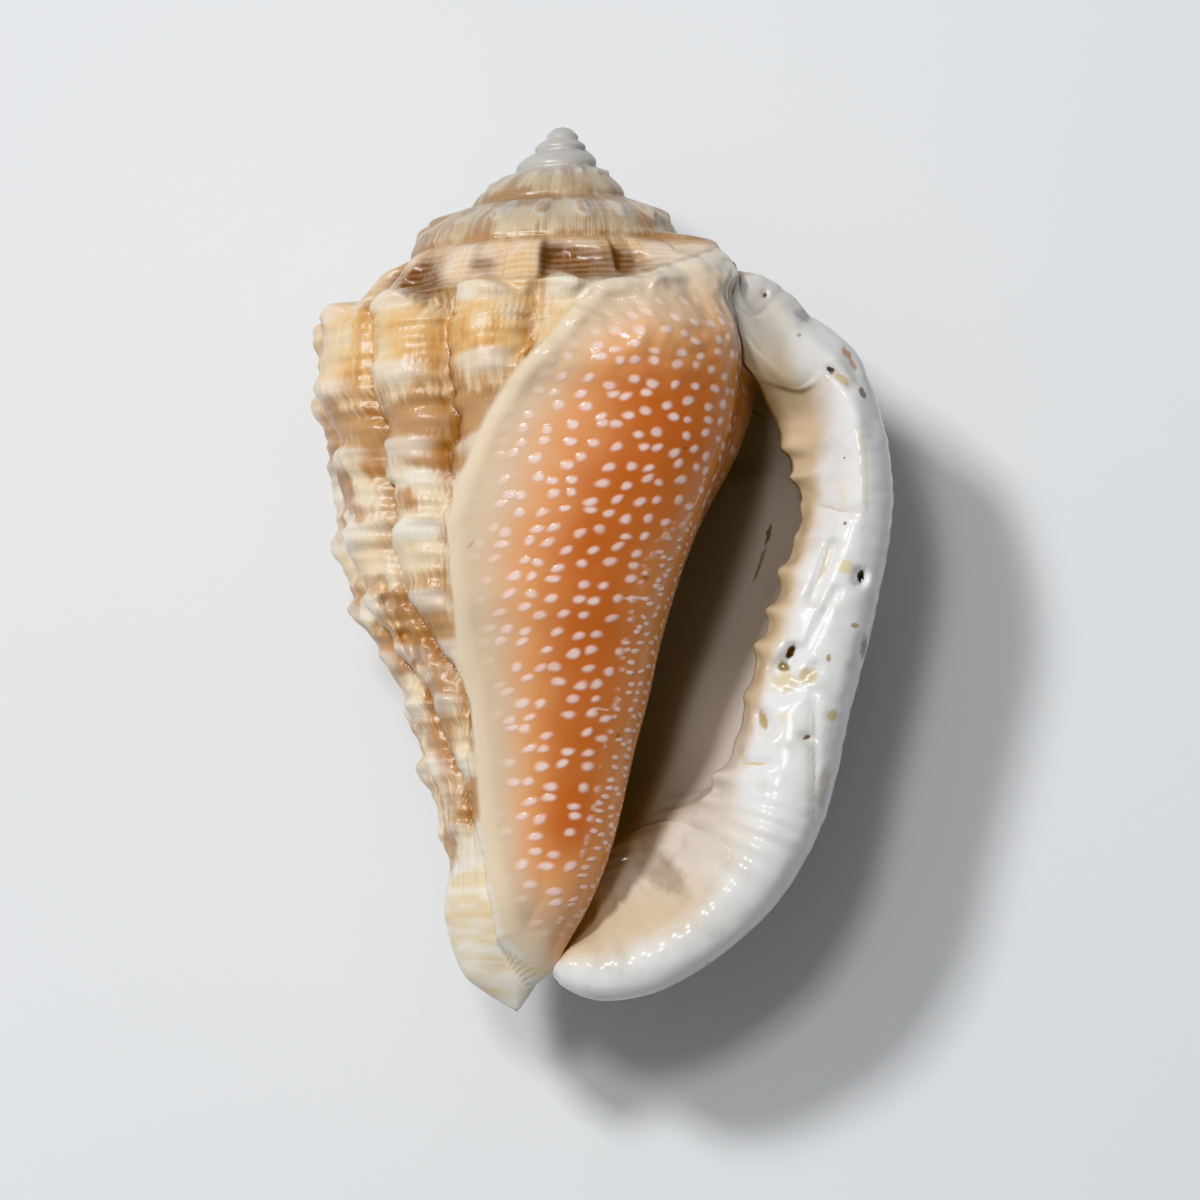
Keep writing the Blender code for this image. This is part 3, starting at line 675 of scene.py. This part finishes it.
class Graph:
    """Adds nodes to a material in short calls; a value is a number, a colour or another node's output."""

    def __init__(self, tree):
        self.tree = tree

    def add(self, kind, inputs, **settings):
        node = self.tree.nodes.new(kind)
        for name, value in settings.items():
            setattr(node, name, value)
        for key, value in inputs.items():
            if isinstance(value, bpy.types.NodeSocket):
                self.tree.links.new(value, node.inputs[key])
            else:
                node.inputs[key].default_value = value
        return node

    def math(self, operation, *values):
        return self.add("ShaderNodeMath", dict(enumerate(values)), operation=operation).outputs[0]

    def times(self, *values):
        result = values[0]
        for value in values[1:]:
            result = self.math("MULTIPLY", result, value)
        return result

    def plus(self, *values):
        result = values[0]
        for value in values[1:]:
            result = self.math("ADD", result, value)
        return result

    def less(self, value):
        """1 minus the value."""
        return self.math("SUBTRACT", 1.0, value)

    def vector(self, operation, *values):
        node = self.add("ShaderNodeVectorMath", dict(enumerate(values)), operation=operation)
        return node.outputs["Value" if operation in ("LENGTH", "DISTANCE") else "Vector"]

    def read(self, name, output="Fac"):
        return self.add("ShaderNodeAttribute", {}, attribute_name=name).outputs[output]

    def between(self, value, low, high, to_low=0.0, to_high=1.0):
        """A smooth step from to_low at low to to_high at high."""
        inputs = {"Value": value, "From Min": low, "From Max": high, "To Min": to_low, "To Max": to_high}
        return self.add("ShaderNodeMapRange", inputs, interpolation_type="SMOOTHSTEP").outputs[0]

    def mix(self, first, second, share):
        return self.add("ShaderNodeMix", {0: share, 6: first, 7: second}, data_type="RGBA").outputs[2]

    def noise(self, at, scale, detail=2.0, output="Fac"):
        return self.add("ShaderNodeTexNoise", {"Vector": at, "Scale": scale, "Detail": detail}).outputs[output]

    def cells(self, at, scale, random=1.0, feature="F1"):
        inputs = {"Vector": at, "Scale": scale, "Randomness": random}
        return self.add("ShaderNodeTexVoronoi", inputs, feature=feature, voronoi_dimensions="2D").outputs[0]

    def stretch(self, at, x, y, z=1.0):
        return self.vector("MULTIPLY", at, (x, y, z))

    def split(self, at):
        node = self.add("ShaderNodeSeparateXYZ", {0: at})
        return node.outputs[0], node.outputs[1]

    def waves(self, value, spacing):
        """Smooth waves from 0 to 1 with the given spacing."""
        return self.math("MULTIPLY_ADD", self.math("SINE", self.times(value, 2 * np.pi / spacing)), 0.5, 0.5)


CREAM = colour(228, 212, 184)
WHITE_SHELL = colour(234, 227, 214)
GOLDEN = colour(224, 178, 112)
BROWN = colour(172, 118, 62)
DARK_BROWN = colour(100, 62, 32)
DEEP_BROWN = colour(112, 70, 36)
TAN = colour(204, 156, 98)
RUST = colour(178, 116, 62)
OLD_WHITE = colour(186, 182, 177)
# Painted shade for the spire
SPIRE_PAINTED_SHADE = colour(112, 102, 86)
SHIELD_CREAM = colour(214, 192, 165)
SHIELD_MID = colour(226, 160, 108)
SHIELD_DEEP = colour(196, 106, 58)
SHIELD_TAN = colour(222, 158, 114)
SHIELD_TOP = colour(194, 183, 168)
SPOT = colour(244, 216, 206)
RIM_CREAM = colour(236, 220, 194)
LIP_WHITE = colour(228, 227, 225)
LIP_SHADE = colour(204, 202, 196)
LIP_BEIGE = colour(206, 182, 146)
FLAP = colour(202, 196, 188)
INSIDE = colour(200, 190, 178)
# Painted shade on the mouth's floor, darker than the inside's own colour
FLOOR_PAINTED_SHADE = colour(158, 142, 122)
TIP_YELLOW = colour(222, 194, 140)
HOLE = colour(40, 26, 18)

# Marks with places and half sizes in the photo's pixels: (x, y, half width, half height, turn, colour, strength,
# region). The regions are the lip, the shield, the mouth's inside and the ribbed outside.
MARKS = [
    (764, 297, 2.5, 4, 0.0, HOLE, 0.85, "lip"), (801, 317, 10, 6, 0.6, colour(150, 150, 152), 0.7, "lip"),
    (797, 337, 2.5, 3, 0.0, colour(120, 110, 100), 0.6, "lip"), (829, 372, 5, 3.5, 0.6, HOLE, 0.9, "lip"),
    (841, 381, 12, 4.5, 0.7, colour(196, 176, 140), 0.9, "lip"), (845, 354, 4, 8, -0.6, BROWN, 0.7, "lip"),
    (851, 366, 3, 8, -0.4, BROWN, 0.6, "lip"), (861, 394, 3.5, 7, -0.5, DARK_BROWN, 0.8, "lip"),
    (859, 576, 4.5, 6.5, 0.2, HOLE, 1.0, "lip"), (843, 459, 1.5, 1.5, 0.0, HOLE, 0.8, "lip"),
    (843, 524, 2, 2, 0.0, HOLE, 0.7, "lip"), (823, 565, 4, 26, 0.36, colour(206, 190, 160), 0.7, "lip"),
    (844, 567, 9, 8, 0.0, colour(222, 204, 150), 0.7, "lip"), (853, 625, 5, 2.5, 0.2, colour(170, 140, 100), 0.8, "lip"),
    (862, 647, 4, 14, 0.15, colour(140, 124, 108), 0.8, "lip"), (827, 658, 3, 4, 0.0, colour(176, 152, 116), 0.9, "lip"),
    (807, 675, 11, 9, -0.7, colour(200, 184, 146), 0.9, "lip"), (789, 652, 4.5, 8, 0.5, colour(74, 48, 24), 1.0, "lip"),
    (782, 666, 7, 7, 0.4, colour(142, 120, 80), 1.0, "lip"), (783, 682, 16, 11, 0.0, colour(214, 198, 160), 0.8, "lip"),
    (762, 719, 5, 10, -0.2, colour(178, 146, 100), 0.9, "lip"), (830, 714, 6, 7, 0.5, colour(206, 182, 130), 0.8, "lip"),
    (785, 716, 10, 8, 0.0, colour(224, 212, 190), 0.7, "lip"), (805, 736, 4.5, 2.5, -0.4, colour(110, 78, 50), 0.9, "lip"),
    (755, 762, 14, 1.8, 0.0, colour(214, 190, 150), 0.9, "lip"), (812, 762, 2, 68, 0.0, colour(206, 196, 180), 0.7, "lip"),
    (821, 786, 7, 28, 0.2, colour(186, 176, 164), 0.6, "lip"), (708, 962, 3, 3, 0.0, colour(70, 66, 60), 0.8, "lip"),
    (832, 509, 20, 2, 0.25, colour(206, 196, 178), 0.8, "lip"), (843, 500, 30, 3, 1.2, colour(226, 216, 190), 0.4, "lip"),
    (862, 470, 5, 50, -0.05, colour(196, 184, 160), 0.5, "lip"), (792, 521, 10, 28, 0.1, colour(230, 208, 168), 0.6, "lip"),
    (684, 450, 1.5, 1.5, 0.0, DARK_BROWN, 0.8, "shield"), (645, 578, 5, 2.5, 0.0, DARK_BROWN, 0.4, "shield"),
    (635, 598, 16, 1.8, 0.0, SPOT, 0.6, "shield"), (618, 735, 3, 4, 0.0, DARK_BROWN, 0.4, "shield"),
    (600, 708, 12, 1.6, 0.0, SPOT, 0.5, "shield"), (472, 545, 2, 6, 0.7, DARK_BROWN, 0.25, "shield"),
    (768, 535, 2.5, 12, 0.25, DARK_BROWN, 0.7, "inside"), (760, 565, 2.0, 22, 0.35, DARK_BROWN, 0.5, "inside"),
    # The last two marks on the next line are painted shadow at the mouth's lower end, beside the shield's lower edge
    (757, 412, 16, 1.8, 0.6, DARK_BROWN, 0.5, "inside"), (666, 846, 44, 22, 0.7, DARK_BROWN, 0.35, "inside"), (655, 864, 46, 18, 0.75, colour(146, 124, 98), 0.55, "lip"),
]
# Golden and brown by the level on the left side: (level, gold, brown)
BANDS = [
    (0.0, 0.0, 0.3), (2.7, 0.3, 0.45), (3.6, 0.3, 0.5), (4.7, 0.4, 0.55), (5.2, 0.4, 0.65), (5.7, 0.2, 0.4),
    (7.2, 0.3, 0.45), (7.7, 0.3, 0.6), (9.5, 0.6, 0.2), (11.0, 0.85, 0.1),
    (14.5, 0.9, 0.15), (16.5, 0.6, 0.4), (17.6, 0.4, 0.75), (19.2, 0.3, 0.45), (20.3, 0.1, 0.1), (22.0, 0.25, 0.3),
    (24.0, 0.35, 0.1), (26.0, 0.4, 0.5), (28.5, 0.4, 0.55), (30.5, 0.25, 0.25), (33.0, 0.3, 0.35),
    (36.0, 0.3, 0.4), (40.0, 0.1, 0.15), (LENGTH, 0.0, 0.0),
]
# Soft blotches on the ribbed outside, in the photo's pixels: (x, y, half width, half height, turn, what it adds to
# the golden, the brown and the dark, where the dark is dark brown on the ribs and painted shade on the ramp)
BLOTCHES = [
    (598, 266, 50, 19, 0.05, -0.3, 0.4, 0.9), (424, 290, 31, 18, 0.3, 0.0, 0.3, 1.0), (486, 268, 15, 8, 0.0, 0.0, 0.3, 0.6), (520, 200, 34, 8, 0.0, 0.0, 0.5, 0.0),
    (337, 486, 18, 18, 0.3, 0.2, 0.9, 0.35), (432, 455, 40, 14, 0.0, 0.3, 0.5, 0.0), (458, 450, 16, 22, 0.0, 0.2, 0.6, 0.2),
    (375, 470, 14, 12, 0.0, 0.2, 0.5, 0.1), (407, 500, 14, 12, 0.0, 0.4, 0.3, 0.0), (400, 605, 16, 14, 0.6, 0.1, 0.8, 0.3),
    (425, 640, 20, 20, 0.5, 0.3, 0.6, 0.15), (412, 655, 12, 22, 0.8, 0.0, 0.7, 0.3), (440, 690, 12, 18, 0.6, 0.1, 0.6, 0.2),
    (474, 800, 12, 24, 0.3, 0.4, 0.9, 0.1), (452, 850, 8, 30, 0.0, 0.2, 0.8, 0.0), (390, 690, 10, 14, 0.3, 0.2, 0.6, 0.1),
    (368, 612, 8, 14, 0.0, -0.4, -0.6, 0.0), (342, 540, 12, 24, 0.2, -0.4, -0.6, 0.0), (405, 530, 34, 12, 0.0, -0.4, -0.5, 0.0),
    (330, 350, 12, 34, 0.0, -0.4, -0.3, 0.0), (560, 277, 14, 7, 0.3, -0.6, -0.6, -0.6), (466, 297, 9, 8, 0.0, -0.6, -0.4, 0.0),
    (425, 770, 10, 16, 0.2, -0.3, -0.6, 0.0), (470, 880, 20, 40, 0.0, -0.2, -0.6, 0.0), (455, 720, 20, 26, 0.5, 0.4, 0.25, 0.0), (552, 297, 20, 14, 0.0, -0.7, -0.4, 0.0),
]
# Painted shade in the ramp's hollows, on the older side of a step's edge: (the edge's place in ribs, strength)
STEP_SHADOWS = [(0.5, 0.5), (2.5, 0.9), (4.5, 0.3), (5.5, 1.0), (6.5, 0.2), (7.5, 1.0), (8.5, 0.4), (9.5, 0.8), (11.5, 0.7)]


def body_colour(g):
    """The ribbed outside: cream, with golden and brown bands, dark grooves, pale knobs and painted shade on the ramp's
    steps.
    """
    coil = g.read("coil", "Vector")
    cloud = g.noise(coil, 0.42, 3.0)
    axial = g.noise(g.stretch(coil, 3.6, 0.4), 1.0, 3.0)
    spiral = g.noise(g.stretch(coil, 0.22, 3.4), 1.0, 3.0)
    base = g.mix(CREAM, WHITE_SHELL, g.between(cloud, 0.42, 0.62))
    gold = g.times(g.read("gold"), g.between(g.plus(cloud, g.times(axial, 0.4)), 0.42, 0.8))
    base = g.mix(base, GOLDEN, gold)
    streaks = g.plus(g.times(axial, g.plus(0.25, g.times(g.read("side"), 0.35))), g.times(spiral, 0.25))
    mottle = g.plus(g.read("brown"), g.times(cloud, 1.3), streaks)
    base = g.mix(base, BROWN, g.times(g.between(mottle, 1.25, 1.7), 0.75))
    low = g.times(g.between(g.read("arch"), 0.8, 0.15), g.between(axial, 0.3, 0.62), g.read("side"))
    base = g.mix(base, BROWN, g.times(low, 0.55))
    knob = g.plus(g.between(g.read("knob"), 0.35, 0.95), g.between(g.read("spine"), 0.3, 0.9))
    base = g.mix(base, WHITE_SHELL, g.times(g.math("MINIMUM", knob, 1.0), 0.55))
    notch = g.times(g.between(g.read("notch"), 0.45, 0.95), g.between(axial, 0.3, 0.55), g.read("side"))
    base = g.mix(base, DARK_BROWN, g.times(notch, 0.7))
    bent = g.plus(g.split(coil)[1], g.times(g.noise(g.stretch(coil, 0.3, 0.6), 1.0, 2.0), 0.5))
    lines = g.times(g.waves(bent, RAMP_LINES), g.between(axial, 0.2, 0.6))
    ramp = g.mix(CREAM, WHITE_SHELL, g.between(cloud, 0.4, 0.6))
    ramp = g.mix(ramp, TAN, g.times(g.plus(0.5, g.times(lines, 0.35)), g.between(cloud, 0.3, 0.55, 1.0, 0.6)))
    # Painted shade on the older side of each of the ramp's steps
    ramp = g.mix(ramp, DEEP_BROWN, g.times(g.read("dark_and_step_shade"), g.plus(0.8, g.times(lines, 0.2))))
    base = g.mix(base, ramp, g.times(g.read("ramp"), 0.95))
    base = g.mix(base, DEEP_BROWN, g.times(g.read("dark_and_step_shade"), g.less(g.read("ramp")), g.between(axial, 0.3, 0.6)))
    base = g.mix(base, WHITE_SHELL, g.times(g.between(g.read("nodule"), 0.2, 0.6), 0.7))
    dots = g.times(g.between(g.read("nodule"), 0.5, 1.1), g.between(g.noise(coil, 1.1, 3.0), 0.4, 0.55))
    base = g.mix(base, RUST, g.times(dots, 0.6))
    # Painted shade darkening the spire's whorls
    base = g.mix(base, SPIRE_PAINTED_SHADE, g.times(g.read("spire"), 0.4))
    base = g.mix(base, OLD_WHITE, g.read("old"))
    growth = g.noise(g.stretch(g.read("solid", "Vector"), 0.25, 1.3, 0.25), 1.0, 2.0)
    tip = g.mix(WHITE_SHELL, TIP_YELLOW, g.times(g.between(growth, 0.38, 0.66), 0.7))
    return g.mix(base, tip, g.read("tip"))


def spot_height(g):
    """1 on the shield's raised spots, 0 between them."""
    across = g.read("across", "Vector")
    bent = g.vector("ADD", across, g.stretch(g.noise(across, 0.8, 1.0, "Color"), 0.5, 0.5))
    wide = g.between(g.cells(g.stretch(bent, 0.92, 1.12), 1.0, 0.62), 0.36, 0.1)
    small = g.between(g.cells(g.stretch(bent, 1.2, 2.0), 1.0, 0.7), 0.34, 0.14)
    right = g.between(g.read("rightward"), 0.35, 0.75)
    return g.plus(g.times(wide, g.less(right)), g.times(small, right))


def spots_shown(g):
    """Where on the shield the spots are."""
    return g.between(g.read("orange"), 0.0, 0.4)


def shield_colour(g):
    """The shield: cream at its margin, orange inside, with pale raised spots."""
    across = g.read("across", "Vector")
    cloud = g.plus(g.noise(across, 0.3, 2.0), -0.5)
    orange = g.plus(g.read("orange"), g.times(cloud, 0.35))
    base = g.mix(SHIELD_CREAM, SHIELD_MID, g.between(orange, 0.0, 0.7))
    base = g.mix(base, SHIELD_DEEP, g.between(orange, 0.5, 1.15))
    base = g.mix(base, SHIELD_TAN, g.times(g.read("rightward"), 0.6))
    base = g.mix(base, SHIELD_TOP, g.read("top"))
    shown = g.times(spots_shown(g), g.plus(0.5, g.times(g.noise(across, 0.8), 0.7)))
    spots = g.mix(base, SPOT, g.times(spot_height(g), shown))
    rim = g.times(g.between(g.read("inside"), 1.2, 0.2), 0.6)
    return g.mix(g.mix(spots, RIM_CREAM, rim), FLAP, g.times(g.read("flap"), 0.8))


def lip_colour(g):
    """The lip: bluish white, with a beige inner slope."""
    stain = g.noise(g.read("solid", "Vector"), 0.55, 3.0)
    base = g.mix(LIP_WHITE, LIP_SHADE, g.between(stain, 0.45, 0.75, 0.0, 0.6))
    slope = g.plus(g.read("slope"), g.times(g.plus(stain, -0.5), 0.35))
    base = g.mix(base, LIP_BEIGE, g.times(g.between(slope, 0.05, 0.6), g.read("beige")))
    return g.mix(base, FLAP, g.read("flap"))


def add_marks(g, base, regions):
    """Stains, holes and scratches, and painted shadow at the mouth's lower end, each an oval with a ragged edge."""
    picture = g.read("picture", "Vector")
    ragged = g.vector("ADD", picture, g.stretch(g.noise(picture, 0.12, 2.0, "Color"), 5.0, 5.0))
    ragged = g.vector("SUBTRACT", ragged, (2.5, 2.5, 0.0))
    for x, y, wide, tall, turn, paint, strength, region in MARKS:
        inputs = {"Vector": ragged, "Location": (x, y, 0.0), "Rotation": (0.0, 0.0, turn), "Scale": (wide, tall, 1.0)}
        mapped = g.add("ShaderNodeMapping", inputs, vector_type="TEXTURE").outputs[0]
        inside = g.between(g.vector("LENGTH", mapped), 1.25, 0.7)
        base = g.mix(base, paint, g.times(inside, strength, regions[region]))
    return base


def shell_material():
    material = bpy.data.materials.new("shell")
    material.use_nodes = True
    g = Graph(material.node_tree)
    surface = material.node_tree.nodes["Principled BSDF"]
    coil = g.read("coil", "Vector")
    front = g.read("front")
    deep = g.between(g.read("deep"), 0.3, 3.0)
    on_lip = g.times(g.between(g.read("lip"), 0.42, 0.6), g.less(deep))
    shield = g.times(g.between(g.read("inside"), -0.1, 0.25), g.less(on_lip), g.less(deep))
    base = g.mix(body_colour(g), shield_colour(g), shield)
    base = g.mix(base, lip_colour(g), on_lip)
    # The mouth's inside in its own colour, with painted shade on its floor
    base = g.mix(base, g.mix(INSIDE, FLOOR_PAINTED_SHADE, g.read("floor")), deep)
    regions = {"lip": g.times(on_lip, front), "shield": shield, "inside": deep}
    base = add_marks(g, base, regions)
    g.tree.links.new(base, surface.inputs["Base Color"])
    outside = g.times(g.less(shield), g.less(on_lip), g.less(deep))
    g.tree.links.new(g.plus(g.times(outside, 0.18), 0.12), surface.inputs["Roughness"])
    surface.inputs["IOR"].default_value = 1.5
    x, y = g.split(coil)
    beads = g.times(g.waves(x, BEADS[0]), g.waves(y, BEADS[1]))
    beady = g.between(g.noise(g.stretch(coil, 0.12, 0.8), 1.0, 1.0), 0.42, 0.6)
    axial = g.noise(g.stretch(coil, 3.8, 0.5), 1.0, 2.0)
    spiral = g.noise(g.stretch(coil, 0.3, 3.6), 1.0, 2.0)
    rough_part = g.plus(g.times(beads, beady, 0.025), g.times(axial, 0.035), g.times(spiral, 0.03))
    spots = g.times(spot_height(g), g.plus(0.15, g.times(spots_shown(g), 0.85)), 0.035)
    wrinkles = g.times(g.noise(g.read("across", "Vector"), 0.75, 1.0), g.read("wrinkled"), 0.4)
    lirae = g.times(g.waves(g.read("row"), LIRAE), g.read("lirae"), g.less(deep), 0.1)
    rib_part = g.times(rough_part, outside, g.read("side"), g.less(g.read("ramp")))
    height = g.plus(rib_part, lirae, g.times(g.plus(spots, wrinkles), shield))
    bump = g.add("ShaderNodeBump", {"Height": height, "Strength": 1.0, "Distance": MM})
    g.tree.links.new(bump.outputs[0], surface.inputs["Normal"])
    return material


# The beads of the ribbed outside: their spacing round the whorl and along it; and the ramp's coloured lines
BEADS = (0.3, 0.54)
RAMP_LINES = 0.36
# How far apart the small ridges at the lower end of the lip are, in row depths
LIRAE = 0.8


def colour_regions(points, values):
    """The values that only the colours need."""
    picture = to_picture(points)
    px, py = picture.T
    d = points[:, 1]
    level = values["coil"][:, 1]
    phase = values["coil"][:, 2]
    bands = np.array(BANDS)
    left_x = np.interp(d, [p[1] for p in SHIELD[:16]], [p[0] for p in SHIELD[:16]])
    right_x = through(EDGE, d)
    share = (points[:, 0] - left_x) / np.maximum(right_x - left_x, 0.5)
    # One mask for painted shade on the ramp's steps and for the blotches' dark brown
    dark_and_step_shade = np.zeros(len(d))
    for edge, strength in STEP_SHADOWS:
        beside = ease(edge - 0.95, edge - 0.1, phase) ** 1.5 * (1 - ease(edge - 0.07, edge + 0.01, phase))
        lower = ease(7.6, 9.0, level + 0.6 * (phase - edge)) * (1 - values["shoulder"])
        dark_and_step_shade = np.maximum(dark_and_step_shade, strength * beside * lower)
    values["picture"] = np.stack([px, py, 0 * px], axis=1)
    values["side"] = ease(4.0, 9.0, level) * (1 - ease(40.0, 43.0, level))
    gold, brown = through(bands[:, [0, 1]], level), through(bands[:, [0, 2]], level)
    on_ribs = (points[:, 2] > 0) & (values["inside"] < 0.5)
    for x, y, wide, tall, turn, more_gold, more_brown, more_dark in BLOTCHES:
        c, s = np.cos(turn), np.sin(turn)
        u, v = (px - x) * c + (py - y) * s, (py - y) * c - (px - x) * s
        soft = np.exp(-(((u / wide) ** 2 + (v / tall) ** 2) ** 1.8)) * on_ribs
        gold, brown, dark_and_step_shade = gold + more_gold * soft, brown + more_brown * soft, dark_and_step_shade + more_dark * soft
    values["dark_and_step_shade"] = np.clip(dark_and_step_shade, 0, 1)
    values["gold"] = np.clip(gold, 0, 1)
    values["brown"] = np.clip(brown, 0, 1.3)
    values["old"] = 1 - ease(2.2, 4.0, level)
    # Where painted shade darkens the spire
    values["spire"] = 1 - ease(6.5, 8.5, level)
    values["tip"] = ease(39.0, 42.5, d)
    values["solid"] = points
    fade = ease(8.0, 17.0, d) * (1 - ease(38.0, 46.5, d))
    values["wrinkled"] = 1 - ease(12.0, 17.0, d)
    values["lirae"] = ease(35.0, 38.0, values["row"]) * np.exp(-(((values["lip"] - 0.78) / 0.08) ** 2))
    values["orange"] = fade * ease(-0.06, 0.64, share) * (1 - 0.2 * ease(0.8, 1.0, share))
    values["rightward"] = ease(0.7, 1.0, share) * ease(18.0, 26.0, d)
    values["top"] = 1 - ease(8.0, 13.0, d + 2.5 * share)
    # Where painted shade darkens the mouth's floor: towards its lower end, and beside the shield's edge
    wall = through([(0.0, 4.5), (28.0, 4.0), (38.0, 7.0), (46.0, 9.0)], d)
    beside_edge = 1 - ease(0.0, 1.0, (points[:, 0] - right_x) / wall)
    values["floor"] = np.maximum(ease(26.0, 38.0, d) * beside_edge, ease(36.0, 43.5, d))
    values["beige"] = 0.9 - 0.5 * ease(30.0, 37.0, d) + 0.4 * ease(40.0, 43.0, d)
    start = through([(12.0, 0.72), (16.0, 0.8), (19.0, 0.87), (24.0, 0.87), (27.0, 0.86), (35.0, 0.88), (39.0, 0.68), (46.0, 0.62)], d)
    values["slope"] = ease(0.0, 1.0, (values["lip"] - start) / (1 - start)) * ease(8.5, 10.0, d)
    values["flap"] = (1 - ease(1.0, 5.0, values["from_edge"])) * ease(7.0, 8.5, d) * (1 - ease(10.0, 15.0, d))


# The piece

points, placed, faces, values = shell_surface()
colour_regions(points, values)
mesh = bpy.data.meshes.new("shell")
mesh.from_pydata(placed.tolist(), [], faces)
normals = np.zeros(3 * len(placed))
mesh.vertices.foreach_get("normal", normals)
values["front"] = ease(0.05, 0.45, normals[2::3])
for name, value in values.items():
    kind = "FLOAT_VECTOR" if value.ndim > 1 else "FLOAT"
    layer = mesh.attributes.new(name, kind, "POINT")
    layer.data.foreach_set("vector" if value.ndim > 1 else "value", value.astype(np.float32).ravel())
mesh.materials.append(shell_material())
mesh.validate()
mesh.shade_smooth()
shell = bpy.data.objects.new("shell_body", mesh)
bpy.context.scene.collection.objects.link(shell)
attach(shell, "root")
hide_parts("shell")

# The stage


def plain_material(name, value, roughness):
    material = bpy.data.materials.new(name)
    material.use_nodes = True
    surface = material.node_tree.nodes["Principled BSDF"]
    surface.inputs["Base Color"].default_value = value
    surface.inputs["Roughness"].default_value = roughness
    return material


floor_mesh = bpy.data.meshes.new("floor")
half = 0.6
floor_mesh.from_pydata([(-half, -half, 0), (half, -half, 0), (half, half, 0), (-half, half, 0)], [], [(0, 1, 2, 3)])
floor_mesh.materials.append(plain_material("floor", colour(222, 224, 226), 0.6))
floor = bpy.data.objects.new("floor", floor_mesh)
bpy.context.scene.collection.objects.link(floor)

bpy.context.scene.view_settings.view_transform = "Khronos PBR Neutral"
world = bpy.data.worlds.new("world")
bpy.context.scene.world = world
world.use_nodes = True
world.node_tree.nodes["Background"].inputs["Color"].default_value = (0.9, 0.95, 1.0, 1.0)
world.node_tree.nodes["Background"].inputs["Strength"].default_value = 0.18

# Soft lamps: (name, where in metres, size in metres, watts)
LAMPS = [
    ("key", (-0.21, 0.15, 0.42), 0.07, 1.5),
    ("glints", (-0.13, 0.12, 0.75), 0.1, 1.45),
    ("fill", (-0.2, 0.2, 0.8), 1.2, 1.35),
]
for name, place, size, power in LAMPS:
    lamp = bpy.data.lights.new(name, "AREA")
    lamp.shape = "SQUARE"
    lamp.size = size
    lamp.energy = power
    item = bpy.data.objects.new(name, lamp)
    item.location = place
    item.rotation_euler = (Vector((0, 0, 0.01)) - Vector(place)).to_track_quat("-Z", "Y").to_euler()
    bpy.context.scene.collection.objects.link(item)

CAMERA_DISTANCE = 1.0
toward = Vector((0.0, -np.cos(VIEW_HEIGHT), np.sin(VIEW_HEIGHT)))
level_turn = (-toward).to_track_quat("-Z", "Y")
right, up = level_turn @ Vector((1, 0, 0)), level_turn @ Vector((0, 1, 0))
c, s = np.cos(PICTURE_TURN), np.sin(PICTURE_TURN)
right, up = right * c + up * s, up * c - right * s
top_point = Vector((-CENTRE_X * MM, CENTRE_D * MM, FLAT_DEPTH * MM))
middle = top_point - right * ((TOP_PIXEL[0] - PICTURE_CENTRE[0]) * PIXEL * MM)
middle -= up * ((PICTURE_CENTRE[1] - TOP_PIXEL[1]) * PIXEL * MM)
camera_data = bpy.data.cameras.new("camera")
camera_data.sensor_fit = "HORIZONTAL"
camera_data.angle = 2 * np.arctan(PICTURE_HALF * MM / CAMERA_DISTANCE)
camera = bpy.data.objects.new("camera", camera_data)
bpy.context.scene.collection.objects.link(camera)
turn = Matrix((right, up, toward)).transposed()
camera.matrix_world = Matrix.Translation(middle + toward * CAMERA_DISTANCE) @ turn.to_4x4()
bpy.context.scene.camera = camera
